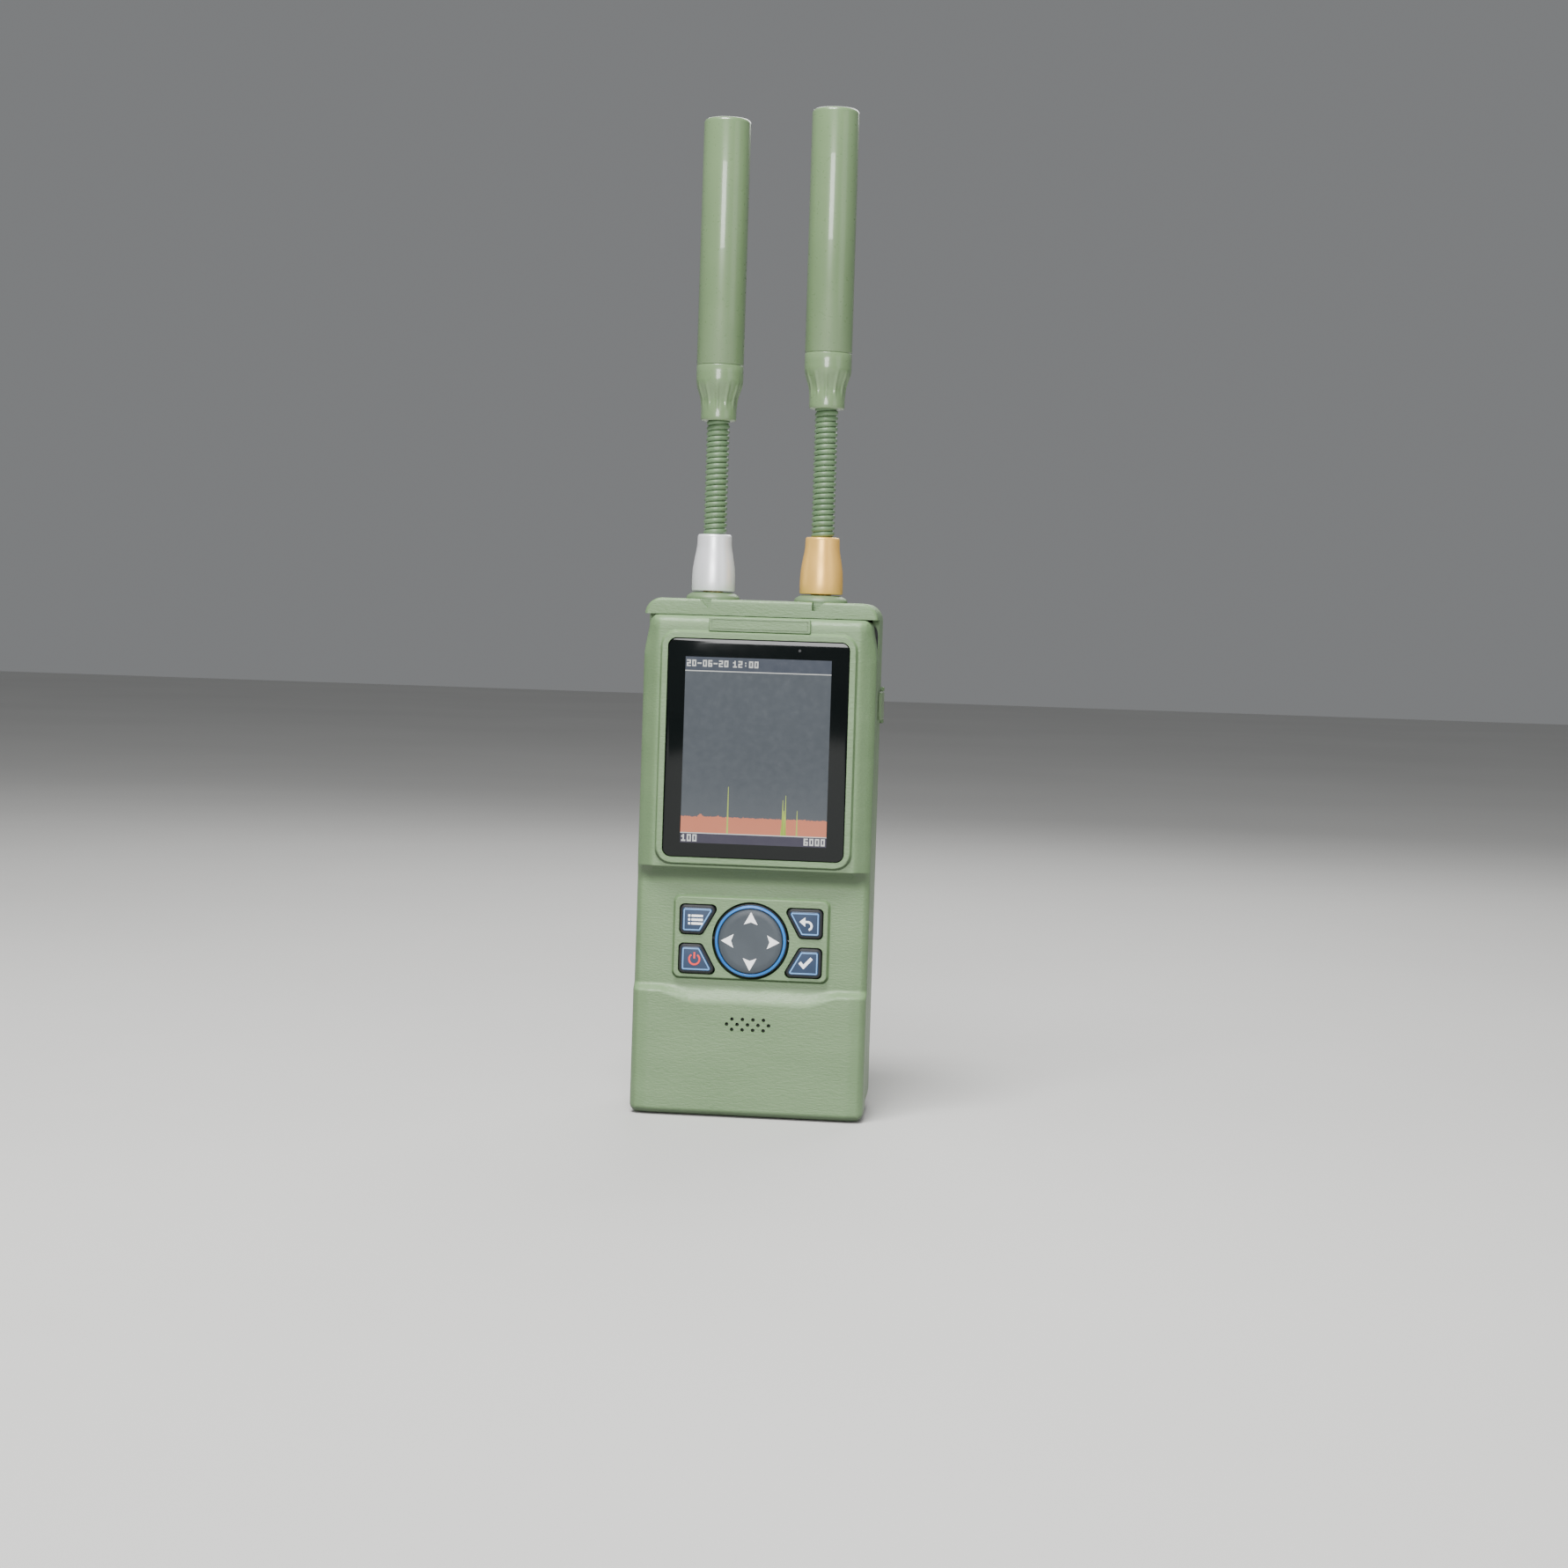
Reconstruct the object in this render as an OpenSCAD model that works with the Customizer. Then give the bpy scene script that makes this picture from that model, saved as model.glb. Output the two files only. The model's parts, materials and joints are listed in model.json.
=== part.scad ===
// Handheld spectrum analyzer with two flexible antennas.
// Millimetres, Z up, display facing -Y, standing on the flat bottom at Z = 0.

/* [Body] */
// Width of the body across its widest part
body_w = 70; // [64:0.5:80]
// Height of the body from the bottom to the top of the hood
body_h = 154; // [148:0.5:165]
// Depth of the body from the display rim to the back
body_d = 38; // [37:0.5:44]
// Wall thickness of both shells
wall = 2.2; // [1.8:0.1:2.4]
// How far the front cover stops below the top of the hood
cover_drop = 5; // [4:0.1:6]
// Radius of the corners of the rear shell, seen from the front
rear_corner_r = 5; // [3:0.5:6]

/* [Display] */
// Width of the cover glass
glass_w = 54.4; // [50:0.5:56]
// Height of the cover glass
glass_h = 65.4; // [62:0.2:68]
// Height of the glass centre above the bottom
glass_z = 109.6; // [108:0.1:112]
// Width of the lit area of the display
lit_w = 43.6; // [40:0.2:46]
// Height of the lit area of the display
lit_h = 55.4; // [52:0.2:58]

/* [Keys] */
// Height of the key field centre above the bottom
keys_z = 52.4; // [50:0.1:54]
// Diameter of the direction pad
nav_d = 22; // [20:0.5:22]
// Diameter of the round opening for the direction pad
nav_hole_d = 23.2; // [22.8:0.1:23.6]
// How far the four corner keys stand above their raised field
key_proud = 1.4; // [1.0:0.1:1.8]
// Gap between a key and its opening
key_gap = 0.3; // [0.25:0.05:0.4]

/* [Antennas] */
// Distance of each antenna from the middle of the body
antenna_x = 16.5; // [14:0.1:18]
// Diameter of the antenna barrels
barrel_d = 14.4; // [12:0.1:16]
// Height of the top of the left antenna above the bottom
left_top = 300.5; // [280:1:320]
// Height of the top of the right antenna above the bottom
right_top = 304; // [280:1:325]
// Spacing of the wound rings of the flexible necks
ring_pitch = 1.67; // [1.6:0.01:1.8]
// Outer diameter of the flexible necks
neck_d = 7.1; // [6.6:0.1:7.2]
// Number of ribs around each antenna boot
rib_count = 12; // [8:1:16]

/* [Hidden] */
$fn = 48;

// body planes
rim_y = -body_d / 2;
back_y = body_d / 2;
plateau_y = rim_y + 1;
panel_y = rim_y + 1.6;
recess_y = rim_y + 4.4;
pad_y = recess_y - 1.1;
seam_y = rim_y + 15;
seal_t = 0.6;
rear_y = seam_y + seal_t;
hood_y = rim_y + 4;
cover_top = body_h - cover_drop;
hood_gap = 0.2;

// front cover heights
panel_top = 32.7;
slope_top = 38.7;
step_low = 69;
step_high = 73.7;
rim_margin = 2;

// display stack
glass_t = 1.1;
glass_y = rim_y + 0.4;
tape_t = 0.3;
window_w = lit_w + 2;
window_h = lit_h + 2;
lit_z = 109;
lcd_w = 49;
lcd_low = 76.4;
lcd_high = 141;
lcd_y = plateau_y + wall;
lcd_t = 2.4;

// keys: outline of the upper left key about the key field centre
pad_w = 46.5;
pad_h = 24.6;
pad_z = 52.9;
key_r = 1.2;
key_out_x = 20.9;
key_in_near = 14.2;
key_in_far = 10.2;
key_near = 1.5;
key_far = 10.2;
key_travel = 0.8;
flange_t = 0.6;
flange_lip = 0.5;
inner_recess_y = recess_y + wall;
nav_y = -11.7;
pin_r = 0.5;
pin_bore_r = 0.75;

// speaker
speaker_z = 27.4;
hole_pitch = 3.14;
hole_r = 0.55;

// boards
board_y = -9.6;
board_t = 1.2;
board_x = 27.2;
board_z = [44, 132];
rf_y = 0.4;
rf_t = 1.6;
rf_x = 22.8;
rf_z = 133;
boss_r = 2.2;

// case screws
screw_x = 29;
screw_z = [7, 143.2];
screw_r = 1.4;
head_r = 2.7;
tube_r = 3;

// charging port on the right side
port_y = 6.2;
port_z = 123.1;
flap_h = 8.6;
hinge_x = body_w / 2 + 0.25;
hinge_y = 14;
hinge_r = 0.95;

// battery
cell_r = 9.1;
cell_l = 65;
cell_x = 10.2;
cell_y = 7.2;
cell_z = 8;

// antennas
antenna_y = 2;
collar_h = 2.2;
collar_r = 8.15;
sma_r = 3.1;
coupling_z = body_h + collar_h + 0.3;
neck_z = 173.8;
ring_r = 0.87;
ring_c = neck_d / 2 - ring_r;
core_r = ring_c;
knuckle_r = 1.7;
knuckle_l = 3;
cup_r = 1.9;
cup_wall_r = 2.3;
boot_low_left = 208.4;
boot_low_right = 212.8;
boot_l = 17;
left_gaps = [2, 7, 12, 17];
right_gaps = [3, 8, 13, 18];
left_slots = 21;
right_slots = 24;

// finish colours
olive = [0.57, 0.64, 0.53];
dark_rubber = [0.11, 0.12, 0.13];
key_blue = [0.16, 0.24, 0.34];
nav_grey = [0.37, 0.40, 0.42];
steel = [0.72, 0.73, 0.75];
silver = [0.86, 0.87, 0.89];
gold = [0.90, 0.74, 0.42];
brass = [0.78, 0.64, 0.36];
board_green = [0.10, 0.34, 0.20];
black = [0.05, 0.06, 0.07];
cell_blue = [0.20, 0.36, 0.60];

// ---------------------------------------------------------------- helpers

// flat shape with rounded corners: pts are the corner centres, anticlockwise
module rounded_poly(pts, r) {
    n = len(pts);
    edge = [for (i = [0 : n - 1]) pts[(i + 1) % n] - pts[i]];
    side = [for (e = edge) [e[1], -e[0]] / norm(e) * r];
    polygon([for (i = [0 : n - 1]) for (p = [pts[i], pts[(i + 1) % n]]) p + side[i]]);
    for (p = pts)
        translate(p)
            circle(r);
}

// rounded rectangle centred on the origin
module rounded_rect(w, h, r) {
    x = w / 2 - r;
    y = h / 2 - r;
    rounded_poly([[-x, -y], [x, -y], [x, y], [-x, y]], r);
}

// raises a flat X-Z shape into a plate from y0 (front) to y1 (back)
module plate(y0, y1) {
    translate([0, y1, 0])
        rotate([90, 0, 0])
            linear_extrude(y1 - y0)
                children();
}

// box given by its low and high corners
module block(low, high) {
    translate(low)
        cube(high - low);
}

// round bar along Y from y0 to y1 at x, z
module bar_y(x, z, r, y0, y1) {
    translate([x, y1, z])
        rotate([90, 0, 0])
            cylinder(h = y1 - y0, r = r);
}

// round bar along X from x0 to x1 at y, z
module bar_x(y, z, r, x0, x1) {
    translate([x0, y, z])
        rotate([0, 90, 0])
            cylinder(h = x1 - x0, r = r);
}

// ---------------------------------------------------------------- shells

// outline of the front cover, narrower towards its top
module cover_outline() {
    r = 2.5;
    x = body_w / 2 - r;
    rounded_poly([
        [-x, r], [x, r], [x, 137], [x - 1.7, cover_top - r],
        [-x + 1.7, cover_top - r], [-x, 137]
    ], r);
}

module rear_outline() {
    translate([0, body_h / 2])
        rounded_rect(body_w, body_h, rear_corner_r);
}

// solid of the front cover before it is hollowed
module cover_solid() {
    intersection() {
        translate([-body_w / 2 - 1, 0, 0])
            rotate([90, 0, 90])
                linear_extrude(body_w + 2)
                    polygon([
                        [seam_y, -1], [panel_y + 1.2, -1], [panel_y + 1.2, 0], [panel_y, 1.4],
                        [panel_y, panel_top], [recess_y, slope_top],
                        [recess_y, step_low], [recess_y + -1.2, step_low + 2.6],
                        [plateau_y, step_high], [plateau_y, cover_top - 1],
                        [plateau_y + 1, cover_top], [plateau_y + 1, cover_top + 1],
                        [seam_y, cover_top + 1]
                    ]);
        plate(rim_y - 1, seam_y)
            cover_outline();
        translate([0, 0, -2])
            linear_extrude(body_h + 4)
                polygon([
                    [-body_w / 2 - 1, seam_y + 1], [-body_w / 2 - 1, recess_y + 2],
                    [-body_w / 2, recess_y + 1.2], [-body_w / 2 + 4.6, plateau_y],
                    [-body_w / 2 + 4.6, rim_y - 1], [body_w / 2 - 4.6, rim_y - 1],
                    [body_w / 2 - 4.6, plateau_y], [body_w / 2, recess_y + 1.2],
                    [body_w / 2 + 1, recess_y + 2], [body_w / 2 + 1, seam_y + 1]
                ]);
    }
}

// space inside the front cover
module cover_cavity() {
    x = body_w / 2 - wall;
    translate([-x, 0, 0])
        rotate([90, 0, 90])
            linear_extrude(2 * x)
                polygon([
                    [seam_y + 1, wall], [panel_y + wall, wall],
                    [panel_y + wall, panel_top - 1.4], [inner_recess_y, slope_top - 1.6],
                    [inner_recess_y, step_high + wall], [plateau_y + wall, step_high + wall],
                    [plateau_y + wall, cover_top - wall], [seam_y + 1, cover_top - wall]
                ]);
}

// keeps the side walls at full thickness where the cover is bevelled
module cover_cheeks() {
    for (s = [-1, 1])
        translate([s * (body_w / 2 - wall), 0, wall])
            linear_extrude(cover_top - 2 * wall)
                polygon([
                    [0, inner_recess_y + 1.4], [0, plateau_y + wall - 0.2],
                    [-s * 3.4, plateau_y + wall - 0.2]
                ]);
}

module speaker_holes() {
    for (row = [-1, 0, 1], i = [0 : row == 0 ? 4 : 3])
        bar_y(
            (i - (row == 0 ? 2 : 1.5)) * hole_pitch, speaker_z + row * 1.55,
            hole_r, rim_y, panel_y + wall + 1
        );
}

// outline of one corner key, mirrored into place: sx and sz are -1 or 1
module key_outline(sx, sz, grow) {
    r = key_r;
    a = key_out_x - r;
    mirror([sx < 0 ? 1 : 0, 0])
        mirror([0, sz < 0 ? 1 : 0])
            rounded_poly([
                [key_in_near + r, key_near + r], [a, key_near + r],
                [a, key_far - r], [key_in_far + 1.4 * r, key_far - r]
            ], r + grow);
}

module front_shell() {
    color(olive)
        difference() {
            union() {
                difference() {
                    cover_solid();
                    cover_cavity();
                }
                intersection() {
                    cover_cheeks();
                    cover_solid();
                }
                plate(rim_y, plateau_y + 0.5)
                    translate([0, glass_z])
                        rounded_rect(glass_w + 2 * rim_margin, glass_h + 2 * rim_margin, 4.6);
                plate(pad_y, recess_y + 0.5)
                    translate([0, pad_z])
                        rounded_rect(pad_w, pad_h, 2.1);
                for (x = [-board_x, board_x], z = board_z)
                    bar_y(x, z, boss_r, z < step_low ? recess_y + 1 : plateau_y + 1, board_y);
                for (x = [-screw_x, screw_x], z = screw_z)
                    bar_y(x, z, tube_r, panel_y + 1.4, seam_y);
                for (s = [-1, 1])
                    block(
                        [s > 0 ? 11.2 : -12.8, inner_recess_y - 0.2, keys_z - 1.4],
                        [s > 0 ? 12.8 : -11.2, nav_y + 1.3, keys_z + 1.4]
                    );
            }
            // display pocket and window
            plate(rim_y - 1, glass_y + glass_t + tape_t)
                translate([0, glass_z])
                    rounded_rect(glass_w, glass_h, 2.6);
            plate(rim_y, plateau_y + wall + 0.5)
                translate([0, lit_z])
                    square([window_w, window_h], center = true);
            // key openings
            plate(rim_y, inner_recess_y + 0.1)
                translate([0, keys_z])
                    union() {
                        circle(d = nav_hole_d);
                        for (sx = [-1, 1], sz = [-1, 1])
                            key_outline(sx, sz, key_gap);
                    }
            bar_x(nav_y, keys_z, pin_bore_r, -14, 14);
            speaker_holes();
            // threaded holes
            for (x = [-board_x, board_x], z = board_z)
                bar_y(x, z, 0.85, board_y - 2.6, board_y + 1);
            for (x = [-screw_x, screw_x], z = screw_z)
                bar_y(x, z, screw_r, panel_y + 4, seam_y + 1);
        }
}

module nameplate() {
    w = 30.4;
    h = 4.2;
    z = 146.5;
    color(olive)
        difference() {
            plate(plateau_y - 0.6, plateau_y)
                translate([0, z])
                    rounded_rect(w, h, 0.5);
            difference() {
                plate(plateau_y - 1, plateau_y - 0.35)
                    translate([0, z])
                        square([w - 1.6, h - 1.4], center = true);
                plate(plateau_y - 1, plateau_y)
                    translate([0, z])
                        square([w - 2.2, h - 2], center = true);
            }
        }
}

module rear_solid() {
    intersection() {
        union() {
            plate(rear_y, back_y)
                rear_outline();
            intersection() {
                plate(hood_y, rear_y)
                    rear_outline();
                block([-body_w, hood_y, cover_top + hood_gap], [body_w, rear_y, body_h]);
            }
        }
        translate([-body_w, 0, 0])
            rotate([90, 0, 90])
                linear_extrude(2 * body_w)
                    polygon([
                        [rim_y, -1], [back_y - 3, -1], [back_y - 3, 0], [back_y, 3],
                        [back_y, body_h - 4], [back_y - 4, body_h], [hood_y + 0.8, body_h],
                        [hood_y, body_h - 0.8], [hood_y, cover_top], [rim_y, cover_top]
                    ]);
        translate([0, 0, -1])
            linear_extrude(body_h + 2)
                polygon([
                    [-body_w / 2, rim_y], [body_w / 2, rim_y], [body_w / 2, back_y - 3.5],
                    [body_w / 2 - 3.5, back_y], [-body_w / 2 + 3.5, back_y],
                    [-body_w / 2, back_y - 3.5]
                ]);
    }
}

// notches in the front edge of the hood, one before each antenna
module hood_notches() {
    for (s = [-1, 1])
        mirror([s < 0 ? 1 : 0, 0, 0])
            plate(hood_y - 1, hood_y + 2.4)
                polygon([
                    [15.1, body_h - 2.6], [15.1, body_h + 1],
                    [18.9, body_h + 1], [18.9, body_h], [16.2, body_h - 2.6]
                ]);
}

module rear_shell() {
    x = body_w / 2 - wall;
    color(olive)
        difference() {
            union() {
                difference() {
                    rear_solid();
                    block([-x, rear_y - 0.01, wall], [x, back_y - wall, body_h - wall]);
                }
                intersection() {
                    union() {
                        for (sx = [-1, 1])
                            translate([sx * x, 0, wall])
                                linear_extrude(body_h - 2 * wall)
                                    polygon([
                                        [0, back_y - wall], [-sx * 3, back_y - wall],
                                        [0, back_y - wall - 3]
                                    ]);
                        for (sx = [-screw_x, screw_x], z = screw_z) {
                            bar_y(sx, z, tube_r, rear_y, back_y - 1);
                            bar_y(sx, z, 4, back_y - 6.5, back_y - 1);
                        }
                        for (sx = [-rf_x, rf_x])
                            bar_y(sx, rf_z, boss_r, rf_y + rf_t, back_y - 1);
                        block([26, 1.4, port_z - 5], [x + 1, 11, port_z - 2.6]);
                        block([x - 0.8, hinge_y - 3, port_z - 6], [x + 1, hinge_y + 2.4, port_z + 6]);
                        for (sx = [-1, 1], z = [24, 52])
                            bar_y(sx * 24.2, z, 1.6, back_y - 5, back_y - 1);
                    }
                    rear_solid();
                }
                // hinge lugs of the port cover
                for (z = [port_z - 5.6, port_z + 4.2]) {
                    translate([hinge_x, hinge_y, z])
                        cylinder(h = 1.4, r = hinge_r);
                    block(
                        [hinge_x - 1, hinge_y - hinge_r, z],
                        [hinge_x, hinge_y + hinge_r, z + 1.4]
                    );
                }
            }
            hood_notches();
            // case screws
            for (sx = [-screw_x, screw_x], z = screw_z) {
                bar_y(sx, z, screw_r + 0.2, rear_y - 1, back_y);
                bar_y(sx, z, head_r + 0.2, back_y - 4, back_y + 1);
            }
            for (sx = [-rf_x, rf_x])
                bar_y(sx, rf_z, 0.85, rf_y, rf_y + 5);
            // antenna connector holes
            for (sx = [-antenna_x, antenna_x])
                translate([sx, antenna_y, body_h - wall - 1])
                    cylinder(h = wall + 3, r = sma_r + 0.15);
            // port opening and hinge pocket
            block(
                [x - 1, port_y - 4.8, port_z - 1.9],
                [body_w / 2 + 1, port_y + 4.8, port_z + 1.9]
            );
            block(
                [body_w / 2 - 1, hinge_y - 1.3, port_z - 4.2],
                [body_w / 2 + 0.01, hinge_y + 1.3, port_z + 4.2]
            );
            translate([hinge_x, hinge_y, port_z - 6.2])
                cylinder(h = 12, r = 0.4);
        }
}

module case_seal() {
    inset = 0.45;
    color(dark_rubber)
        difference() {
            plate(seam_y, rear_y)
                translate([0, cover_top / 2])
                    rounded_rect(body_w - 2 * inset, cover_top - 2 * inset, 4);
            block(
                [-body_w / 2 + wall, seam_y - 1, wall],
                [body_w / 2 - wall, rear_y + 1, cover_top - wall]
            );
            for (x = [-screw_x, screw_x], z = screw_z)
                bar_y(x, z, tube_r + 0.4, seam_y - 1, rear_y + 1);
        }
}

module case_screws() {
    color(steel)
        for (x = [-screw_x, screw_x], z = screw_z)
            difference() {
                union() {
                    bar_y(x, z, screw_r, panel_y + 5, back_y - 4);
                    bar_y(x, z, head_r, back_y - 4, back_y - 1.6);
                }
                translate([x, back_y - 1.5, z])
                    rotate([90, 0, 0])
                        cylinder(h = 1.5, r = 1.25, $fn = 6);
            }
}

// ---------------------------------------------------------------- display

module screen_glass() {
    color(black)
        plate(glass_y, glass_y + glass_t)
            translate([0, glass_z])
                rounded_rect(glass_w - 0.3, glass_h - 0.3, 2.4);
}

module glass_tape() {
    color(dark_rubber)
        difference() {
            plate(glass_y + glass_t, glass_y + glass_t + tape_t)
                translate([0, glass_z])
                    rounded_rect(glass_w - 1, glass_h - 1, 2);
            block(
                [-window_w / 2 - 0.6, glass_y, lit_z - window_h / 2 - 0.6],
                [window_w / 2 + 0.6, 0, lit_z + window_h / 2 + 0.6]
            );
        }
}

module lcd_module() {
    color(steel)
        difference() {
            block([-lcd_w / 2, lcd_y, lcd_low], [lcd_w / 2, lcd_y + lcd_t, lcd_high]);
            block(
                [-lit_w / 2, lcd_y - 1, lit_z - lit_h / 2],
                [lit_w / 2, lcd_y + 0.2, lit_z + lit_h / 2]
            );
        }
}

module lcd_flex() {
    color([0.80, 0.50, 0.18])
        union() {
            block([-10, lcd_y + lcd_t, 80], [10, lcd_y + lcd_t + 0.2, 92]);
            block([-10, lcd_y + lcd_t, 79.8], [10, board_y - 1, 80]);
            block([-11, board_y - 1, 78], [11, board_y, 82]);
        }
}

// ---------------------------------------------------------------- keys

module corner_key(sx, sz) {
    color(key_blue)
        translate([0, 0, keys_z])
            union() {
                plate(pad_y - key_proud + 0.5, inner_recess_y + 0.1)
                    key_outline(sx, sz, 0);
                plate(pad_y - key_proud, pad_y - key_proud + 0.6)
                    key_outline(sx, sz, -0.5);
                plate(inner_recess_y + 0.1, inner_recess_y + 0.1 + flange_t)
                    key_outline(sx, sz, flange_lip);
                bar_y(sx * 16.4, sz * 6, 1.4, inner_recess_y + 0.5, board_y - 1.15);
            }
}

module menu_key() {
    corner_key(-1, 1);
}

module power_key() {
    corner_key(-1, -1);
}

module back_key() {
    corner_key(1, 1);
}

module ok_key() {
    corner_key(1, -1);
}

module nav_pad() {
    color(nav_grey)
        translate([0, 0, keys_z])
            difference() {
                union() {
                    bar_y(0, 0, nav_d / 2, pad_y - 0.9, recess_y);
                    bar_y(0, 0, nav_d / 2 - 1.2, pad_y - 1.6, pad_y);
                    bar_y(0, 0, 6, recess_y - 0.5, nav_y + 1.4);
                    translate([0, nav_y, -8.6])
                        cylinder(h = 17.2, r = pin_r);
                }
                bar_y(0, 0, 4, nav_y + 0.8, nav_y + 3);
            }
}

module nav_gimbal() {
    color(steel)
        translate([0, 0, keys_z])
            difference() {
                union() {
                    difference() {
                        bar_y(0, 0, 10, nav_y - 1.2, nav_y + 1.2);
                        bar_y(0, 0, 7.4, nav_y - 2, nav_y + 2);
                    }
                    bar_x(nav_y, 0, pin_r, -12.6, -8.5);
                    bar_x(nav_y, 0, pin_r, 8.5, 12.6);
                }
                translate([0, nav_y, -12])
                    cylinder(h = 24, r = pin_bore_r);
            }
}

module key_domes() {
    color(silver)
        translate([0, 0, keys_z])
            union() {
                for (sx = [-1, 1], sz = [-1, 1])
                    bar_y(sx * 16.4, sz * 6, 2.2, board_y - 0.25, board_y);
                for (a = [0 : 90 : 270])
                    bar_y(4.4 * cos(a), 4.4 * sin(a), 1.6, board_y - 0.2, board_y);
            }
}

// ---------------------------------------------------------------- electronics

module main_board() {
    color(board_green)
        difference() {
            block([-28.8, board_y, 38.4], [28.8, board_y + board_t, 138.4]);
            for (x = [-board_x, board_x], z = board_z)
                bar_y(x, z, 1.15, board_y - 1, board_y + board_t + 1);
        }
}

module board_screws() {
    color(steel)
        for (x = [-board_x, board_x], z = board_z)
            difference() {
                union() {
                    bar_y(x, z, 0.85, board_y - 2.4, board_y + board_t);
                    bar_y(x, z, 1.5, board_y + board_t, board_y + board_t + 1.2);
                }
                translate([x, board_y + board_t + 1.3, z])
                    rotate([90, 0, 0])
                        cylinder(h = 0.8, r = 0.8, $fn = 6);
            }
}

module rf_board() {
    color(board_green)
        difference() {
            block([-25.4, rf_y, 129.5], [25.4, rf_y + rf_t, 144.6]);
            for (x = [-rf_x, rf_x])
                bar_y(x, rf_z, 1.15, rf_y - 1, rf_y + rf_t + 1);
        }
}

module rf_screws() {
    color(steel)
        for (x = [-rf_x, rf_x])
            difference() {
                union() {
                    bar_y(x, rf_z, 0.85, rf_y, rf_y + 4.6);
                    bar_y(x, rf_z, 1.5, rf_y - 1.2, rf_y);
                }
                translate([x, rf_y - 0.5, rf_z])
                    rotate([90, 0, 0])
                        cylinder(h = 0.8, r = 0.8, $fn = 6);
            }
}

module rf_shield() {
    color(silver)
        difference() {
            block([-17, rf_y + rf_t, 131], [17, rf_y + rf_t + 3, 142.6]);
            block([-16.6, rf_y + rf_t - 1, 131.4], [16.6, rf_y + rf_t + 2.6, 142.2]);
        }
}

module board_link() {
    color(black)
        block([-9, board_y + board_t, 132], [9, rf_y, 136]);
}

module speaker() {
    y = panel_y + wall + 0.3;
    color(black)
        union() {
            plate(y, y + 3.2)
                translate([0, speaker_z - 2])
                    rounded_rect(19, 10.6, 1.5);
            plate(y + 3.2, y + 3.6)
                translate([0, speaker_z - 2])
                    rounded_rect(12, 7, 1);
        }
}

module speaker_mesh() {
    y = panel_y + wall;
    color([0.2, 0.2, 0.2])
        plate(y, y + 0.3)
            translate([0, speaker_z - 2])
                rounded_rect(18, 9.6, 1.5);
}

module battery_cells() {
    color(cell_blue)
        for (x = [-cell_x, cell_x])
            translate([x, cell_y, cell_z]) {
                cylinder(h = cell_l - 1.2, r = cell_r);
                translate([0, 0, cell_l - 1.2])
                    cylinder(h = 1.2, r = 3);
            }
}

module battery_holder() {
    x = 2 * cell_x + 1;
    color(dark_rubber)
        difference() {
            block([-x, -2.4, cell_z - 3], [x, back_y - wall - 0.1, cell_z + cell_l + 3]);
            for (s = [-cell_x, cell_x])
                translate([s, cell_y, cell_z - 0.6])
                    cylinder(h = cell_l + 1.2, r = cell_r + 0.2);
            block([-x - 1, -3, cell_z + 6], [x + 1, cell_y - 2, cell_z + cell_l - 6]);
        }
}

module battery_contacts() {
    color(steel)
        for (x = [-cell_x, cell_x], z = [cell_z - 0.5, cell_z + cell_l])
            translate([x, cell_y, z])
                cylinder(h = 0.5, r = 3.4);
}

// ---------------------------------------------------------------- charging port

module charge_board() {
    color(board_green)
        block([20.5, 1.4, port_z - 2.6], [32.7, 11, port_z - 1.6]);
}

module usb_port() {
    x0 = 26.2;
    x1 = 33.7;
    color(steel)
        translate([x0, port_y, port_z])
            rotate([90, 0, 90])
                difference() {
                    linear_extrude(x1 - x0)
                        rounded_rect(8.9, 3.2, 1.5);
                    translate([0, 0, 1.5])
                        linear_extrude(x1 - x0)
                            rounded_rect(8.3, 2.6, 1.2);
                    translate([0, 0, x1 - x0 - 1])
                        linear_extrude(2)
                            rounded_rect(8.3, 2.6, 1.2);
                }
}

module port_cover() {
    x0 = body_w / 2 + 0.15;
    z0 = port_z - flap_h / 2;
    z1 = port_z + flap_h / 2;
    color(olive)
        difference() {
            union() {
                translate([x0, 0, 0])
                    rotate([90, 0, 90])
                        linear_extrude(1.05)
                            translate([(hinge_y - 14.4 + hinge_y - 1.4) / 2, port_z])
                                rounded_rect(13, flap_h, 1.6);
                block([x0 - 1.1, port_y - 3.7, port_z - 1], [x0 + 0.2, port_y + 3.7, port_z + 1]);
                block([x0, hinge_y - 2.4, z0 + 0.5], [x0 + 1.05, hinge_y, z1 - 0.5]);
                translate([hinge_x, hinge_y, z0 + 0.5])
                    cylinder(h = flap_h - 1, r = hinge_r);
            }
            translate([hinge_x, hinge_y, z0 - 1])
                cylinder(h = flap_h + 2, r = 0.6);
        }
}

module port_pin() {
    color(steel)
        translate([hinge_x, hinge_y, port_z - 5.6])
            cylinder(h = 11.2, r = 0.4);
}

// ---------------------------------------------------------------- antenna sockets

module collar(sx) {
    color(olive)
        translate([sx * antenna_x, antenna_y, body_h])
            rotate_extrude()
                polygon([
                    [sma_r + 0.1, 0], [collar_r, 0], [collar_r, 0.5], [collar_r - 0.5, 1.3],
                    [collar_r - 1.5, 1.9], [collar_r - 2.6, collar_h], [sma_r + 0.1, collar_h]
                ]);
}

module collar_left() {
    collar(-1);
}

module collar_right() {
    collar(1);
}

module sma(sx) {
    color(brass)
        translate([sx * antenna_x, antenna_y, 0])
            difference() {
                union() {
                    translate([0, 0, 147.4])
                        cylinder(h = 165.5 - 147.4, r = sma_r);
                    translate([0, 0, 147.4])
                        cylinder(h = 1.6, r = 4.4);
                    translate([0, 0, 145])
                        cylinder(h = 3, r = 2.2);
                    translate([0, -2.2, 141])
                        cylinder(h = 4.5, r = 0.5);
                }
                translate([0, 0, 155])
                    cylinder(h = 12, r = 2.3);
            }
}

module sma_left() {
    sma(-1);
}

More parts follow.
